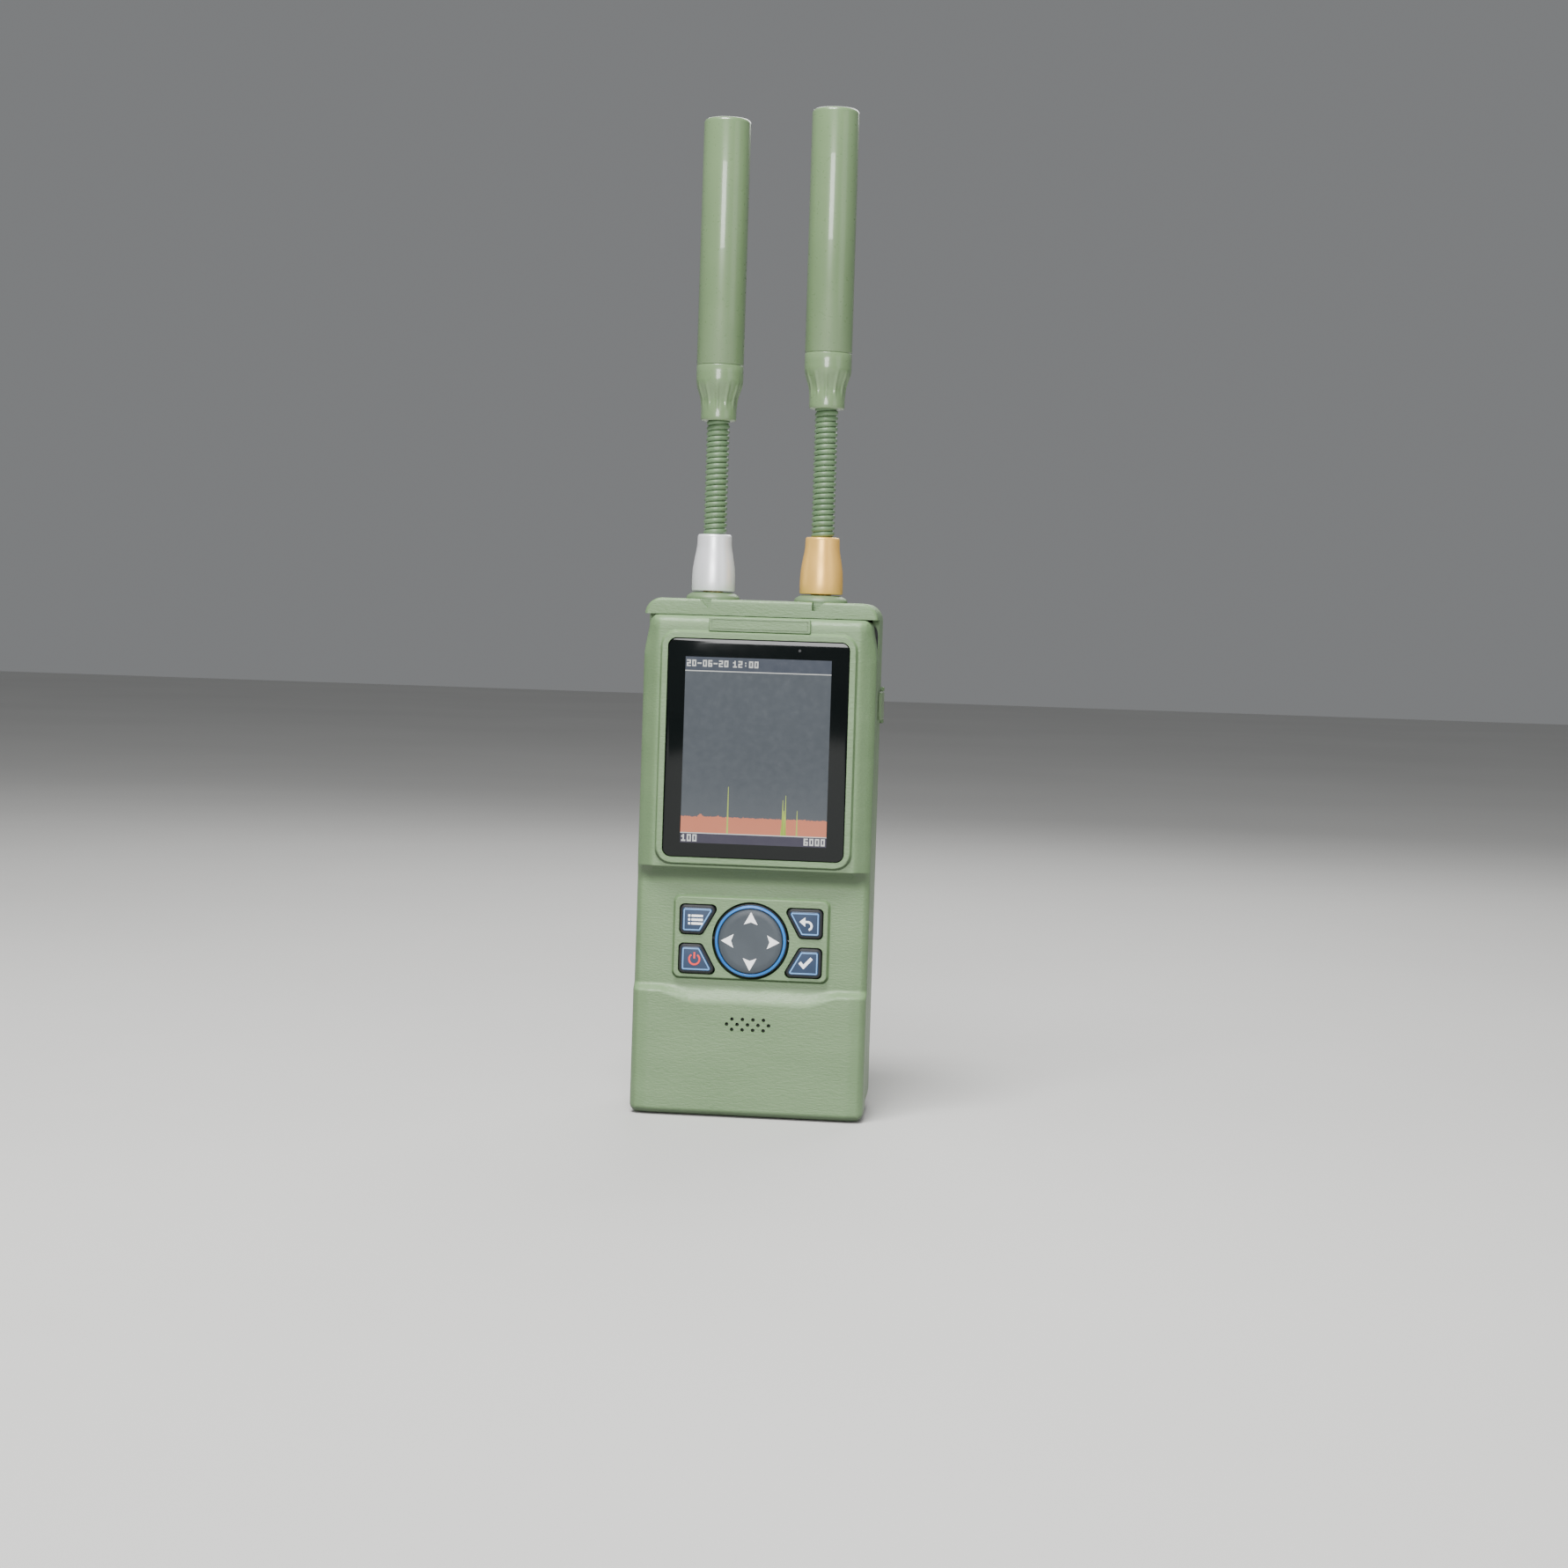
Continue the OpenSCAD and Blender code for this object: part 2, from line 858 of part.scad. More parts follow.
module sma_right() {
    sma(1);
}

module sma_nuts() {
    color(steel)
        for (x = [-antenna_x, antenna_x])
            translate([x, antenna_y, 149])
                difference() {
                    cylinder(h = 2.8, r = 4.6, $fn = 6);
                    translate([0, 0, -1])
                        cylinder(h = 5, r = sma_r);
                }
}

// ---------------------------------------------------------------- antennas

module coupling(sx, tint) {
    color(tint)
        translate([sx * antenna_x, antenna_y, 0])
            rotate_extrude()
                polygon([
                    [sma_r + 0.3, coupling_z], [6.3, coupling_z], [6.55, coupling_z + 0.5],
                    [6.5, 161.8], [6.2, 164], [5.6, 167], [5.25, 169.4], [5.15, 172.9],
                    [4.8, neck_z], [0, neck_z], [0, 168], [1.2, 168], [1.2, 166.2],
                    [sma_r + 0.3, 166.2]
                ]);
}

module coupling_left() {
    coupling(-1, silver);
}

module coupling_right() {
    coupling(1, gold);
}

function slot_z(i) = neck_z + ring_r + ring_pitch * i;

// wound neck section with rings in slots a to b; the pivots are at slots
// "below" and "above", and -1 means that the section ends solid there
module neck(sx, a, b, below, above, low, high) {
    c0 = below < 0 ? low : slot_z(below) + 0.2;
    c1 = above < 0 ? high : slot_z(above) - 1.25;
    color(olive)
        translate([sx * antenna_x, antenna_y, 0])
            difference() {
                union() {
                    rotate_extrude()
                        union() {
                            translate([0, below < 0 ? c0 : slot_z(a)])
                                square([core_r, c1 - (below < 0 ? c0 : slot_z(a))]);
                            for (i = [a : b])
                                translate([ring_c, slot_z(i)])
                                    circle(ring_r);
                        }
                    if (below >= 0)
                        translate([0, 0, c0])
                            cylinder(h = slot_z(a) - c0 + 0.5, r = cup_wall_r);
                    if (above >= 0) {
                        translate([0, 0, c1 - 0.5])
                            cylinder(h = 1.75, r = 1);
                        bar_x(0, slot_z(above), knuckle_r, -knuckle_l / 2, knuckle_l / 2);
                    }
                }
                if (below >= 0)
                    bar_x(0, slot_z(below), cup_r, -cup_wall_r, cup_wall_r);
            }
}

module neck_left_0() {
    neck(-1, 0, 1, -1, left_gaps[0], neck_z, 0);
}

module neck_left_1() {
    neck(-1, left_gaps[0] + 1, left_gaps[1] - 1, left_gaps[0], left_gaps[1], 0, 0);
}

module neck_left_2() {
    neck(-1, left_gaps[1] + 1, left_gaps[2] - 1, left_gaps[1], left_gaps[2], 0, 0);
}

module neck_left_3() {
    neck(-1, left_gaps[2] + 1, left_gaps[3] - 1, left_gaps[2], left_gaps[3], 0, 0);
}

module neck_left_4() {
    neck(-1, left_gaps[3] + 1, left_slots - 1, left_gaps[3], -1, 0, boot_low_left + 9);
}

module neck_right_0() {
    neck(1, 0, 2, -1, right_gaps[0], neck_z, 0);
}

module neck_right_1() {
    neck(1, right_gaps[0] + 1, right_gaps[1] - 1, right_gaps[0], right_gaps[1], 0, 0);
}

module neck_right_2() {
    neck(1, right_gaps[1] + 1, right_gaps[2] - 1, right_gaps[1], right_gaps[2], 0, 0);
}

module neck_right_3() {
    neck(1, right_gaps[2] + 1, right_gaps[3] - 1, right_gaps[2], right_gaps[3], 0, 0);
}

module neck_right_4() {
    neck(1, right_gaps[3] + 1, right_slots - 1, right_gaps[3], -1, 0, boot_low_right + 9);
}

module boot(sx, low) {
    color(olive)
        translate([sx * antenna_x, antenna_y, low])
            union() {
                rotate_extrude()
                    polygon([
                        [4.2, 0], [5.1, 0], [5.4, 0.4], [5.5, 6.6], [6.2, 9.4],
                        [barrel_d / 2, 12.4], [barrel_d / 2, boot_l], [core_r, boot_l],
                        [core_r, 3], [4.2, 3]
                    ]);
                for (i = [0 : rib_count - 1])
                    rotate([0, 0, i * 360 / rib_count])
                        translate([4.6, -0.4, 3.5])
                            cube([1.5, 0.8, 6.5]);
            }
}

module boot_left() {
    boot(-1, boot_low_left);
}

module boot_right() {
    boot(1, boot_low_right);
}

module barrel(sx, low, high) {
    r = barrel_d / 2;
    h = high - low;
    color(olive)
        translate([sx * antenna_x, antenna_y, low])
            rotate_extrude()
                polygon([
                    [r - 1.2, 0], [r - 0.2, 0], [r, 0.2], [r, h - 1], [r - 0.3, h - 0.3],
                    [r - 1, h], [0, h], [0, h - 1.6], [r - 1.2, h - 1.6]
                ]);
}

module barrel_left() {
    barrel(-1, boot_low_left + boot_l, left_top);
}

module barrel_right() {
    barrel(1, boot_low_right + boot_l, right_top);
}

module element(sx, low, high) {
    color(board_green)
        translate([sx * antenna_x, antenna_y, 0])
            union() {
                block([-4.4, -0.4, low + 0.2], [4.4, 0.4, high - 3]);
                block([-2.4, -0.8, low + 0.2], [2.4, 0.8, low + 6]);
            }
}

module element_left() {
    element(-1, boot_low_left + boot_l, left_top);
}

module element_right() {
    element(1, boot_low_right + boot_l, right_top);
}

front_shell();
rear_shell();
case_seal();
case_screws();
nameplate();
screen_glass();
glass_tape();
lcd_module();
lcd_flex();
menu_key();
power_key();
back_key();
ok_key();
nav_pad();
nav_gimbal();
key_domes();
main_board();
board_screws();
rf_board();
rf_shield();
rf_screws();
board_link();
speaker();
speaker_mesh();
battery_cells();
battery_holder();
battery_contacts();
charge_board();
usb_port();
port_cover();
port_pin();
collar_left();
collar_right();
sma_left();
sma_right();
sma_nuts();
coupling_left();
coupling_right();
neck_left_0();
neck_left_1();
neck_left_2();
neck_left_3();
neck_left_4();
neck_right_0();
neck_right_1();
neck_right_2();
neck_right_3();
neck_right_4();
boot_left();
boot_right();
barrel_left();
barrel_right();
element_left();
element_right();
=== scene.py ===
"""Looks of the handheld spectrum analyzer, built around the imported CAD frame."""

import json
import math

import bmesh
import bpy
import numpy as np
from mathutils import Matrix, Vector


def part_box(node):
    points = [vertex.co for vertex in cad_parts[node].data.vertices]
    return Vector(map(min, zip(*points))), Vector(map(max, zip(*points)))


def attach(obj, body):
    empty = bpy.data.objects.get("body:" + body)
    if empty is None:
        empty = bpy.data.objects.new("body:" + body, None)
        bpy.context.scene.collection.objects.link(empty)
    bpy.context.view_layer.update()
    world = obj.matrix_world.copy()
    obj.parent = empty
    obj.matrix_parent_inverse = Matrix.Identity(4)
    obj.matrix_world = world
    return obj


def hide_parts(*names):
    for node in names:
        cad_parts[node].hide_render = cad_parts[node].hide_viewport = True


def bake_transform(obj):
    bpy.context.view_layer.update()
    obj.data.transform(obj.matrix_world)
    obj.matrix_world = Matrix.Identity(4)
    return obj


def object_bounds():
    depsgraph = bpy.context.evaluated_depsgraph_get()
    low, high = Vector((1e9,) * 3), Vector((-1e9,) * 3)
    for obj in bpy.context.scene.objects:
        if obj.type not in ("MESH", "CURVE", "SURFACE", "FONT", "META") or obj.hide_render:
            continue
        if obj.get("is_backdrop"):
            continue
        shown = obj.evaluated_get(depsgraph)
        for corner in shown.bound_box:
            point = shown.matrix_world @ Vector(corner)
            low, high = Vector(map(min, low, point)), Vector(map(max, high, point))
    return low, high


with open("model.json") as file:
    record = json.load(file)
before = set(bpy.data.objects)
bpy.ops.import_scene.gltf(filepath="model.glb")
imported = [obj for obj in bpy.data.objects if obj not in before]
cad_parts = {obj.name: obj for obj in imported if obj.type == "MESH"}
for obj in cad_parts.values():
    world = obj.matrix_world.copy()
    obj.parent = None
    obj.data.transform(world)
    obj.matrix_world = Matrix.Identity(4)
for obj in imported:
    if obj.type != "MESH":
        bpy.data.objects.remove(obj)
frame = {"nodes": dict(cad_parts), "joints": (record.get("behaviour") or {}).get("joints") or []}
cad_low, cad_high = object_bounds()
MM = 1000.0


def cad_box(node):
    """Lowest and highest corner of a CAD node in millimetres."""
    low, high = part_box(node)
    return [v * MM for v in low], [v * MM for v in high]


# ---------------------------------------------------------------- mesh helpers

def new_object(name, verts, faces, smooth=30.0):
    """A mesh object from millimetre vertices; edges sharper than smooth degrees stay crisp."""
    mesh = bpy.data.meshes.new(name)
    mesh.from_pydata([tuple(v) for v in verts], [], faces)
    obj = bpy.data.objects.new(name, mesh)
    bpy.context.scene.collection.objects.link(obj)
    bm = bmesh.new()
    bm.from_mesh(mesh)
    bmesh.ops.recalc_face_normals(bm, faces=bm.faces)
    bm.to_mesh(mesh)
    bm.free()
    crisp(mesh, smooth)
    return obj


def crisp(mesh, angle):
    mesh.shade_smooth()
    mesh.set_sharp_from_angle(angle=math.radians(angle))


def loft(name, loops, smooth=30.0, closed=False):
    """Skins a list of equal-length closed loops; the ends are capped unless closed joins them."""
    n = len(loops[0])
    verts = [p for loop in loops for p in loop]
    faces = []
    rows = len(loops) if closed else len(loops) - 1
    for i in range(rows):
        a, b = i * n, ((i + 1) % len(loops)) * n
        for k in range(n):
            m = (k + 1) % n
            faces.append((a + k, a + m, b + m, b + k))
    if not closed:
        faces.append(tuple(range(n)))
        faces.append(tuple(range((len(loops) - 1) * n, len(loops) * n)))
    return new_object(name, verts, faces, smooth)


def arc_corners(corners, r, steps=10):
    """Outline through rounded corners: corners are arc centres, anticlockwise."""
    n = len(corners)
    out = []
    for i in range(n):
        p = np.array(corners[i], float)
        before = p - np.array(corners[i - 1], float)
        after = np.array(corners[(i + 1) % n], float) - p
        a0 = math.atan2(-before[0], before[1])
        a1 = math.atan2(-after[0], after[1])
        while a1 < a0 - 1e-9:
            a1 += 2 * math.pi
        for k in range(steps + 1):
            a = a0 + (a1 - a0) * k / steps
            out.append((p[0] + r * math.cos(a), p[1] + r * math.sin(a)))
    return out


def rect_outline(x0, x1, z0, z1, r, steps=10):
    return arc_corners([(x0 + r, z0 + r), (x1 - r, z0 + r), (x1 - r, z1 - r), (x0 + r, z1 - r)], r, steps)


def shrink(outline, by):
    """Moves each point of an anticlockwise outline inwards along its normal."""
    pts = np.array(outline, float)
    along = np.roll(pts, -1, 0) - np.roll(pts, 1, 0)
    along /= np.linalg.norm(along, axis=1)[:, None]
    return [tuple(p) for p in pts - by * np.stack([along[:, 1], -along[:, 0]], 1)]


def slab(name, outline, front, back, lip=0.3, steps=5, smooth=30.0, back_lip=0.0):
    """Plate facing -Y with a rounded front edge of radius lip."""
    loops = []
    for k in range(steps + 1):
        a = math.pi / 2 * k / steps
        inner = shrink(outline, lip * (1 - math.sin(a)))
        y = front + lip * (1 - math.cos(a))
        loops.append([(x, y, z) for x, z in inner])
    if back_lip:
        for k in range(steps + 1):
            a = math.pi / 2 * k / steps
            inner = shrink(outline, back_lip * (1 - math.cos(a)))
            y = back - back_lip * (1 - math.sin(a))
            loops.append([(x, y, z) for x, z in inner])
    else:
        loops.append([(x, back, z) for x, z in outline])
    return loft(name, loops, smooth)


def lathe(name, profile, at, sides=96, smooth=30.0, swell=None, closed=False):
    """Turns (radius, height) points about a vertical axis through at = (x, y)."""
    loops = []
    for r, z in profile:
        ring = []
        for k in range(sides):
            a = 2 * math.pi * k / sides
            q = max(r, 1e-4) + (swell(a, z) if swell else 0)
            ring.append((at[0] + q * math.cos(a), at[1] + q * math.sin(a), z))
        loops.append(ring)
    return loft(name, loops, smooth, closed)


def join(objects):
    """Joins several closed meshes into the first one."""
    bm = bmesh.new()
    for o in objects:
        bm.from_mesh(o.data)
    bm.to_mesh(objects[0].data)
    bm.free()
    for o in objects[1:]:
        bpy.data.objects.remove(o)
    return objects[0]


def boolean(obj, tools, operation="DIFFERENCE", smooth=30.0):
    """Cuts the tools out of obj, or adds them, and removes them."""
    tool = join(tools)
    mod = obj.modifiers.new("bool", "BOOLEAN")
    mod.operation = operation
    mod.solver = "EXACT"
    mod.object = tool
    graph = bpy.context.evaluated_depsgraph_get()
    mesh = bpy.data.meshes.new_from_object(obj.evaluated_get(graph))
    obj.modifiers.clear()
    obj.data = mesh
    bpy.data.objects.remove(tool)
    crisp(mesh, smooth)
    return obj


def box_tool(low, high):
    x0, y0, z0 = low
    x1, y1, z1 = high
    return loft("tool", [[(x0, y, z0), (x1, y, z0), (x1, y, z1), (x0, y, z1)] for y in (y0, y1)])


def bar_tool(x, z, r, y0, y1, sides=40):
    turns = [2 * math.pi * k / sides for k in range(sides)]
    ring = [(x + r * math.cos(a), z + r * math.sin(a)) for a in turns]
    return loft("tool", [[(px, y, pz) for px, pz in ring] for y in (y0, y1)])


def outline_tool(outline, y0, y1):
    return loft("tool", [[(x, y, z) for x, z in outline] for y in (y0, y1)])


def place(obj, body, material, replaces=()):
    """Scales a finished millimetre mesh to metres, paints it and lets it ride on its body."""
    obj.data.transform(Matrix.Scale(1 / MM, 4))
    obj.data.materials.clear()
    obj.data.materials.append(material)
    if body:
        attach(obj, body)
    if replaces:
        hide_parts(*replaces)
    return obj


# ---------------------------------------------------------------- materials

def linear(r, g, b):
    """Scene colour from 0-255 display values."""
    out = []
    for v in (r, g, b):
        v /= 255
        out.append(v / 12.92 if v <= 0.04045 else ((v + 0.055) / 1.055) ** 2.4)
    return (*out, 1.0)


def painted_shade_by_facing(nodes, links, coord, ramp):
    """Painted shade by facing direction: darker on undersides and towards the sides, lighter on upper edges.
    """
    split = nodes.new("ShaderNodeSeparateXYZ")
    links.new(coord.outputs["Normal"], split.inputs["Vector"])
    lift = nodes.new("ShaderNodeMapRange")
    lift.inputs["From Min"].default_value = -1.0
    links.new(split.outputs["Z"], lift.inputs["Value"])
    aside = nodes.new("ShaderNodeMath")
    aside.operation = "ABSOLUTE"
    links.new(split.outputs["X"], aside.inputs[0])
    fade = nodes.new("ShaderNodeMapRange")
    fade.inputs["From Max"].default_value = 0.5
    fade.inputs["To Max"].default_value = 0.09
    links.new(aside.outputs["Value"], fade.inputs["Value"])
    level = nodes.new("ShaderNodeMath")
    level.operation = "SUBTRACT"
    links.new(lift.outputs["Result"], level.inputs[0])
    links.new(fade.outputs["Result"], level.inputs[1])
    # ramp of painted shade: downward-facing normals dark, upward-facing normals full brightness
    tones = nodes.new("ShaderNodeValToRGB")
    marks = [(0.0, 0.2), (0.25, 0.3), (0.46, 0.8), (0.54, 0.82), (0.75, 1.0), (1.0, 1.0)]
    while len(tones.color_ramp.elements) < len(marks):
        tones.color_ramp.elements.new(0.5)
    for element, (place_at, v) in zip(tones.color_ramp.elements, marks):
        element.position = place_at
        element.color = (v, v, v, 1)
    links.new(level.outputs["Value"], tones.inputs["Fac"])
    mix = nodes.new("ShaderNodeMix")
    mix.data_type = "RGBA"
    mix.blend_type = "MULTIPLY"
    mix.inputs["Factor"].default_value = 1.0
    links.new(ramp.outputs["Color"], mix.inputs["A"])
    links.new(tones.outputs["Color"], mix.inputs["B"])
    return mix.outputs["Result"]


def finish_material(
    name, light, dark, rough, metal=0.0, patch=120.0, grain=2600.0, bump=0.15,
    stretch=(1, 1, 1), coat=0.0, rough_swing=0.08, glow=None, glow_power=0.0, depth=0.0002,
    shade=False,
):
    """Procedural finish: two close tones in soft patches, a fine grain in relief, uneven gloss; with shade
    set, painted shade and highlight by facing direction is multiplied into the colour.
    """
    mat = bpy.data.materials.new(name)
    mat.use_nodes = True
    nodes, links = mat.node_tree.nodes, mat.node_tree.links
    shader = nodes["Principled BSDF"]
    coord = nodes.new("ShaderNodeTexCoord")
    mapping = nodes.new("ShaderNodeMapping")
    mapping.inputs["Scale"].default_value = stretch
    links.new(coord.outputs["Object"], mapping.inputs["Vector"])
    soft = nodes.new("ShaderNodeTexNoise")
    soft.inputs["Scale"].default_value = patch
    soft.inputs["Detail"].default_value = 5.0
    links.new(mapping.outputs["Vector"], soft.inputs["Vector"])
    fine = nodes.new("ShaderNodeTexNoise")
    fine.inputs["Scale"].default_value = grain
    fine.inputs["Detail"].default_value = 3.0
    links.new(mapping.outputs["Vector"], fine.inputs["Vector"])
    ramp = nodes.new("ShaderNodeValToRGB")
    ramp.color_ramp.elements[0].position = 0.3
    ramp.color_ramp.elements[0].color = dark
    ramp.color_ramp.elements[1].position = 0.7
    ramp.color_ramp.elements[1].color = light
    links.new(soft.outputs["Fac"], ramp.inputs["Fac"])
    # painted shade and highlight from the object-space normal, multiplied into the paint colour
    if shade:
        tone = painted_shade_by_facing(nodes, links, coord, ramp)
    else:
        tone = ramp.outputs["Color"]
    links.new(tone, shader.inputs["Base Color"])
    gloss = nodes.new("ShaderNodeMapRange")
    gloss.inputs["To Min"].default_value = max(rough - rough_swing, 0.02)
    gloss.inputs["To Max"].default_value = min(rough + rough_swing, 1.0)
    links.new(fine.outputs["Fac"], gloss.inputs["Value"])
    links.new(gloss.outputs["Result"], shader.inputs["Roughness"])
    relief = nodes.new("ShaderNodeBump")
    relief.inputs["Strength"].default_value = bump
    relief.inputs["Distance"].default_value = depth
    links.new(fine.outputs["Fac"], relief.inputs["Height"])
    links.new(relief.outputs["Normal"], shader.inputs["Normal"])
    shader.inputs["Metallic"].default_value = metal
    shader.inputs["Coat Weight"].default_value = coat
    if glow:
        shader.inputs["Emission Color"].default_value = glow
        shader.inputs["Emission Strength"].default_value = glow_power
    return mat


# olive shell paint with painted shade: undersides and sides darker, upper edges lighter, by facing direction
SHELL = finish_material(
    "shell_paint_painted_shade", linear(121, 150, 108), linear(113, 142, 100), 0.44,
    grain=1300, bump=0.5, stretch=(0.55, 1, 1.6), patch=60, depth=0.0003, shade=True,
)
GLOSS = finish_material(
    "barrel_paint", linear(110, 134, 96), linear(104, 128, 91), 0.3,
    patch=40, grain=900, bump=0.02, coat=0.5,
)
COIL = finish_material(
    "coil_paint", linear(100, 126, 92), linear(86, 112, 80), 0.4, patch=300, grain=1800, bump=0.12,
)
COLLAR = finish_material(
    "collar_paint", linear(110, 132, 98), linear(102, 125, 91), 0.42,
    patch=150, bump=0.1,
)
RUBBER = finish_material("black_rubber", linear(24, 27, 32), linear(18, 20, 24), 0.6, patch=200, bump=0.15)
FLAP = finish_material("olive_rubber", linear(104, 124, 92), linear(96, 117, 86), 0.62, patch=120, bump=0.25)
GLASS = finish_material(
    "cover_glass", linear(9, 14, 14), linear(7, 11, 11), 0.06,
    patch=30, grain=400, bump=0.0, rough_swing=0.02,
)
GLASS.node_tree.nodes["Principled BSDF"].inputs["Specular IOR Level"].default_value = 0.3
SILVER = finish_material(
    "silver_plate", linear(252, 252, 254), linear(244, 245, 250), 0.36,
    metal=0.45, patch=80, grain=900, bump=0.04,
    stretch=(1, 1, 0.15),
)
GOLD = finish_material(
    "gold_plate", linear(255, 206, 112), linear(250, 192, 96), 0.36,
    metal=0.45, patch=80, grain=900, bump=0.04,
    stretch=(1, 1, 0.15),
)
BLUE_KEY = finish_material(
    "key_blue", linear(30, 54, 84), linear(24, 46, 74), 0.4,
    patch=200, grain=1200, bump=0.05,
)
LIGHT_BLUE = finish_material(
    "key_outline", linear(120, 172, 226), linear(98, 156, 218), 0.4,
    patch=150, bump=0.03,
)
RING_BLUE = finish_material(
    "ring_blue", linear(40, 128, 204), linear(24, 104, 186), 0.35,
    patch=90, bump=0.03,
)
NAV = finish_material(
    "nav_grey", linear(62, 70, 77), linear(55, 63, 70), 0.42,
    patch=120, grain=2000, bump=0.08,
)
# print colours with a glow that makes them brighter than the lamps light them: painted light on the print
GLOW_WHITE_PRINT = finish_material(
    "print_white_painted_glow", linear(244, 245, 246), linear(236, 238, 240), 0.45, patch=200, bump=0.03,
    glow=linear(255, 255, 255), glow_power=0.35,
)
GLOW_RED_PRINT = finish_material(
    "print_red_painted_glow", linear(236, 60, 48), linear(220, 44, 36), 0.45, patch=200, bump=0.03,
    glow=linear(255, 40, 30), glow_power=0.25,
)
STEEL = finish_material(
    "steel", linear(176, 178, 182), linear(160, 162, 168), 0.35,
    metal=1.0, patch=300, bump=0.05,
)
DARK = finish_material("dark_plastic", linear(30, 31, 34), linear(24, 25, 28), 0.5, patch=300, bump=0.1)
BOARD = finish_material("circuit_board", linear(24, 92, 54), linear(18, 78, 44), 0.4, patch=260, bump=0.06)
BRASS = finish_material(
    "brass", linear(206, 170, 96), linear(192, 154, 82), 0.3,
    metal=1.0, patch=200, bump=0.04,
)
CELL = finish_material("cell_wrap", linear(46, 90, 150), linear(38, 78, 136), 0.35, patch=100, bump=0.04)


def lit(name, colour, power=0.55):
    dim = (*[0.12 * v for v in colour[:3]], 1.0)
    dimmer = (*[0.09 * v for v in colour[:3]], 1.0)
    return finish_material(
        name, dim, dimmer, 0.12, patch=40, grain=500, bump=0.0, glow=colour, glow_power=power,
    )


LIT_BACK = lit("lit_background", linear(108, 115, 122), 0.6)
LIT_BAR = lit("lit_bar", linear(98, 105, 118), 0.6)
LIT_STRIP = lit("lit_strip", linear(74, 70, 92), 0.6)
LIT_NOISE = lit("lit_noise", linear(222, 132, 100), 0.95)
LIT_LINE = lit("lit_line", linear(230, 232, 228), 0.9)
LIT_PEAK = lit("lit_peak", linear(190, 214, 96), 0.85)


# ---------------------------------------------------------------- front cover

shell_low, shell_high = cad_box("front_shell")
glass_low, glass_high = cad_box("screen_glass")
half_w, cover_top = shell_high[0], shell_high[2]
rim_y, seam_y = shell_low[1], shell_high[1]
plateau_y, panel_y, recess_y = rim_y + 1, rim_y + 1.6, rim_y + 4.4
glass_mid = (glass_low[2] + glass_high[2]) / 2
keys_z = sum(cad_box("nav_pad")[i][2] for i in (0, 1)) / 2


def ease(t):
    t = np.clip(t, 0, 1)
    return t * t * (3 - 2 * t)


def outside_rect(x, z, cx, cz, w, h, r):
    """Signed distance to a rounded rectangle, negative inside."""
    qx, qz = np.abs(x - cx) - w / 2 + r, np.abs(z - cz) - h / 2 + r
    return np.hypot(np.maximum(qx, 0), np.maximum(qz, 0)) + np.minimum(np.maximum(qx, qz), 0) - r


def side_reach(z):
    """Half width of the front cover at height z."""
    r = 2.5
    reach = half_w - 1.7 * ease((z - 136) / (cover_top - 136)) 
    low = np.clip(r - z, 0, r)
    high = np.clip(z - (cover_top - r), 0, r)
    return reach - r + np.sqrt(np.maximum(r * r - low**2, 0)) + np.sqrt(np.maximum(r * r - high**2, 0)) - r


def face_depth(x, z):
    """Y of the cover's front surface at (x, z)."""
    ax = np.abs(x)
    upper = plateau_y + 0.25 + 2.6 * ease((ax - 29.6) / 5.6) + 0.9 * ease((z - 145.5) / 5)
    lower = panel_y + 0.9 * ease((ax - 29.5) / 6)
    recess = recess_y + 0.35 * ease((ax - 30) / 5)
    t = np.clip((z - 68.4) / 5.6, 0, 1)
    step = 1 - np.sqrt(np.maximum(1 - t**2, 0)) * (1 - 0.35 * t)
    y = recess + (upper - recess) * ease(step * 0.75 + t * 0.25)
    slope_low = 33.0 + 3.2 * np.clip((ax - 18) / 8.5, 0, 1)
    u = (38.9 - z) / (38.9 - slope_low)
    y = y + (lower - recess) * ease(0.5 + (u - 0.5) * 1.08)
    d = outside_rect(x, z, 0, glass_mid, glass_high[0] - glass_low[0], glass_high[2] - glass_low[2], 2.6)
    rim = ease((2.5 - d) / 0.75)
    y = y + (rim_y - y) * rim
    pad = outside_rect(x, z, 0, keys_z + 0.5, 46.5, 24.6, 2.1)
    y = y - 1.5 * ease((0.35 - pad) / 0.85) * ease((60 - np.abs(z - keys_z)) / 20)
    edge_r = 2.2
    edge = np.minimum(side_reach(z) - ax, np.minimum(z, cover_top - z))
    e = np.clip(1 - edge / edge_r, 0, 1)
    return y + edge_r * (1 - np.sqrt(np.maximum(1 - e * e, 0)))


def spread(marks):
    """Sample positions from (start, end, step) runs."""
    out = [np.arange(a, b - 1e-6, s) for a, b, s in marks]
    return np.concatenate(out + [[marks[-1][1]]])


half_u = spread([
    (0, 22, 0.55), (22, 24.5, 0.15), (24.5, 26.6, 0.45), (26.6, 30.4, 0.19),
    (30.4, 33, 0.4), (33, 35, 0.13),
])
us = np.concatenate([-half_u[:0:-1], half_u]) / half_u[-1]
zs = spread([
    (0, 2.4, 0.14), (2.4, 31, 0.55), (31, 39, 0.25), (39, 43, 0.14), (43, 62.6, 0.5),
    (62.6, 66.4, 0.14), (66.4, 77, 0.18),
    (77, 141, 0.6), (141, cover_top - 2.4, 0.2), (cover_top - 2.4, cover_top, 0.14),
])


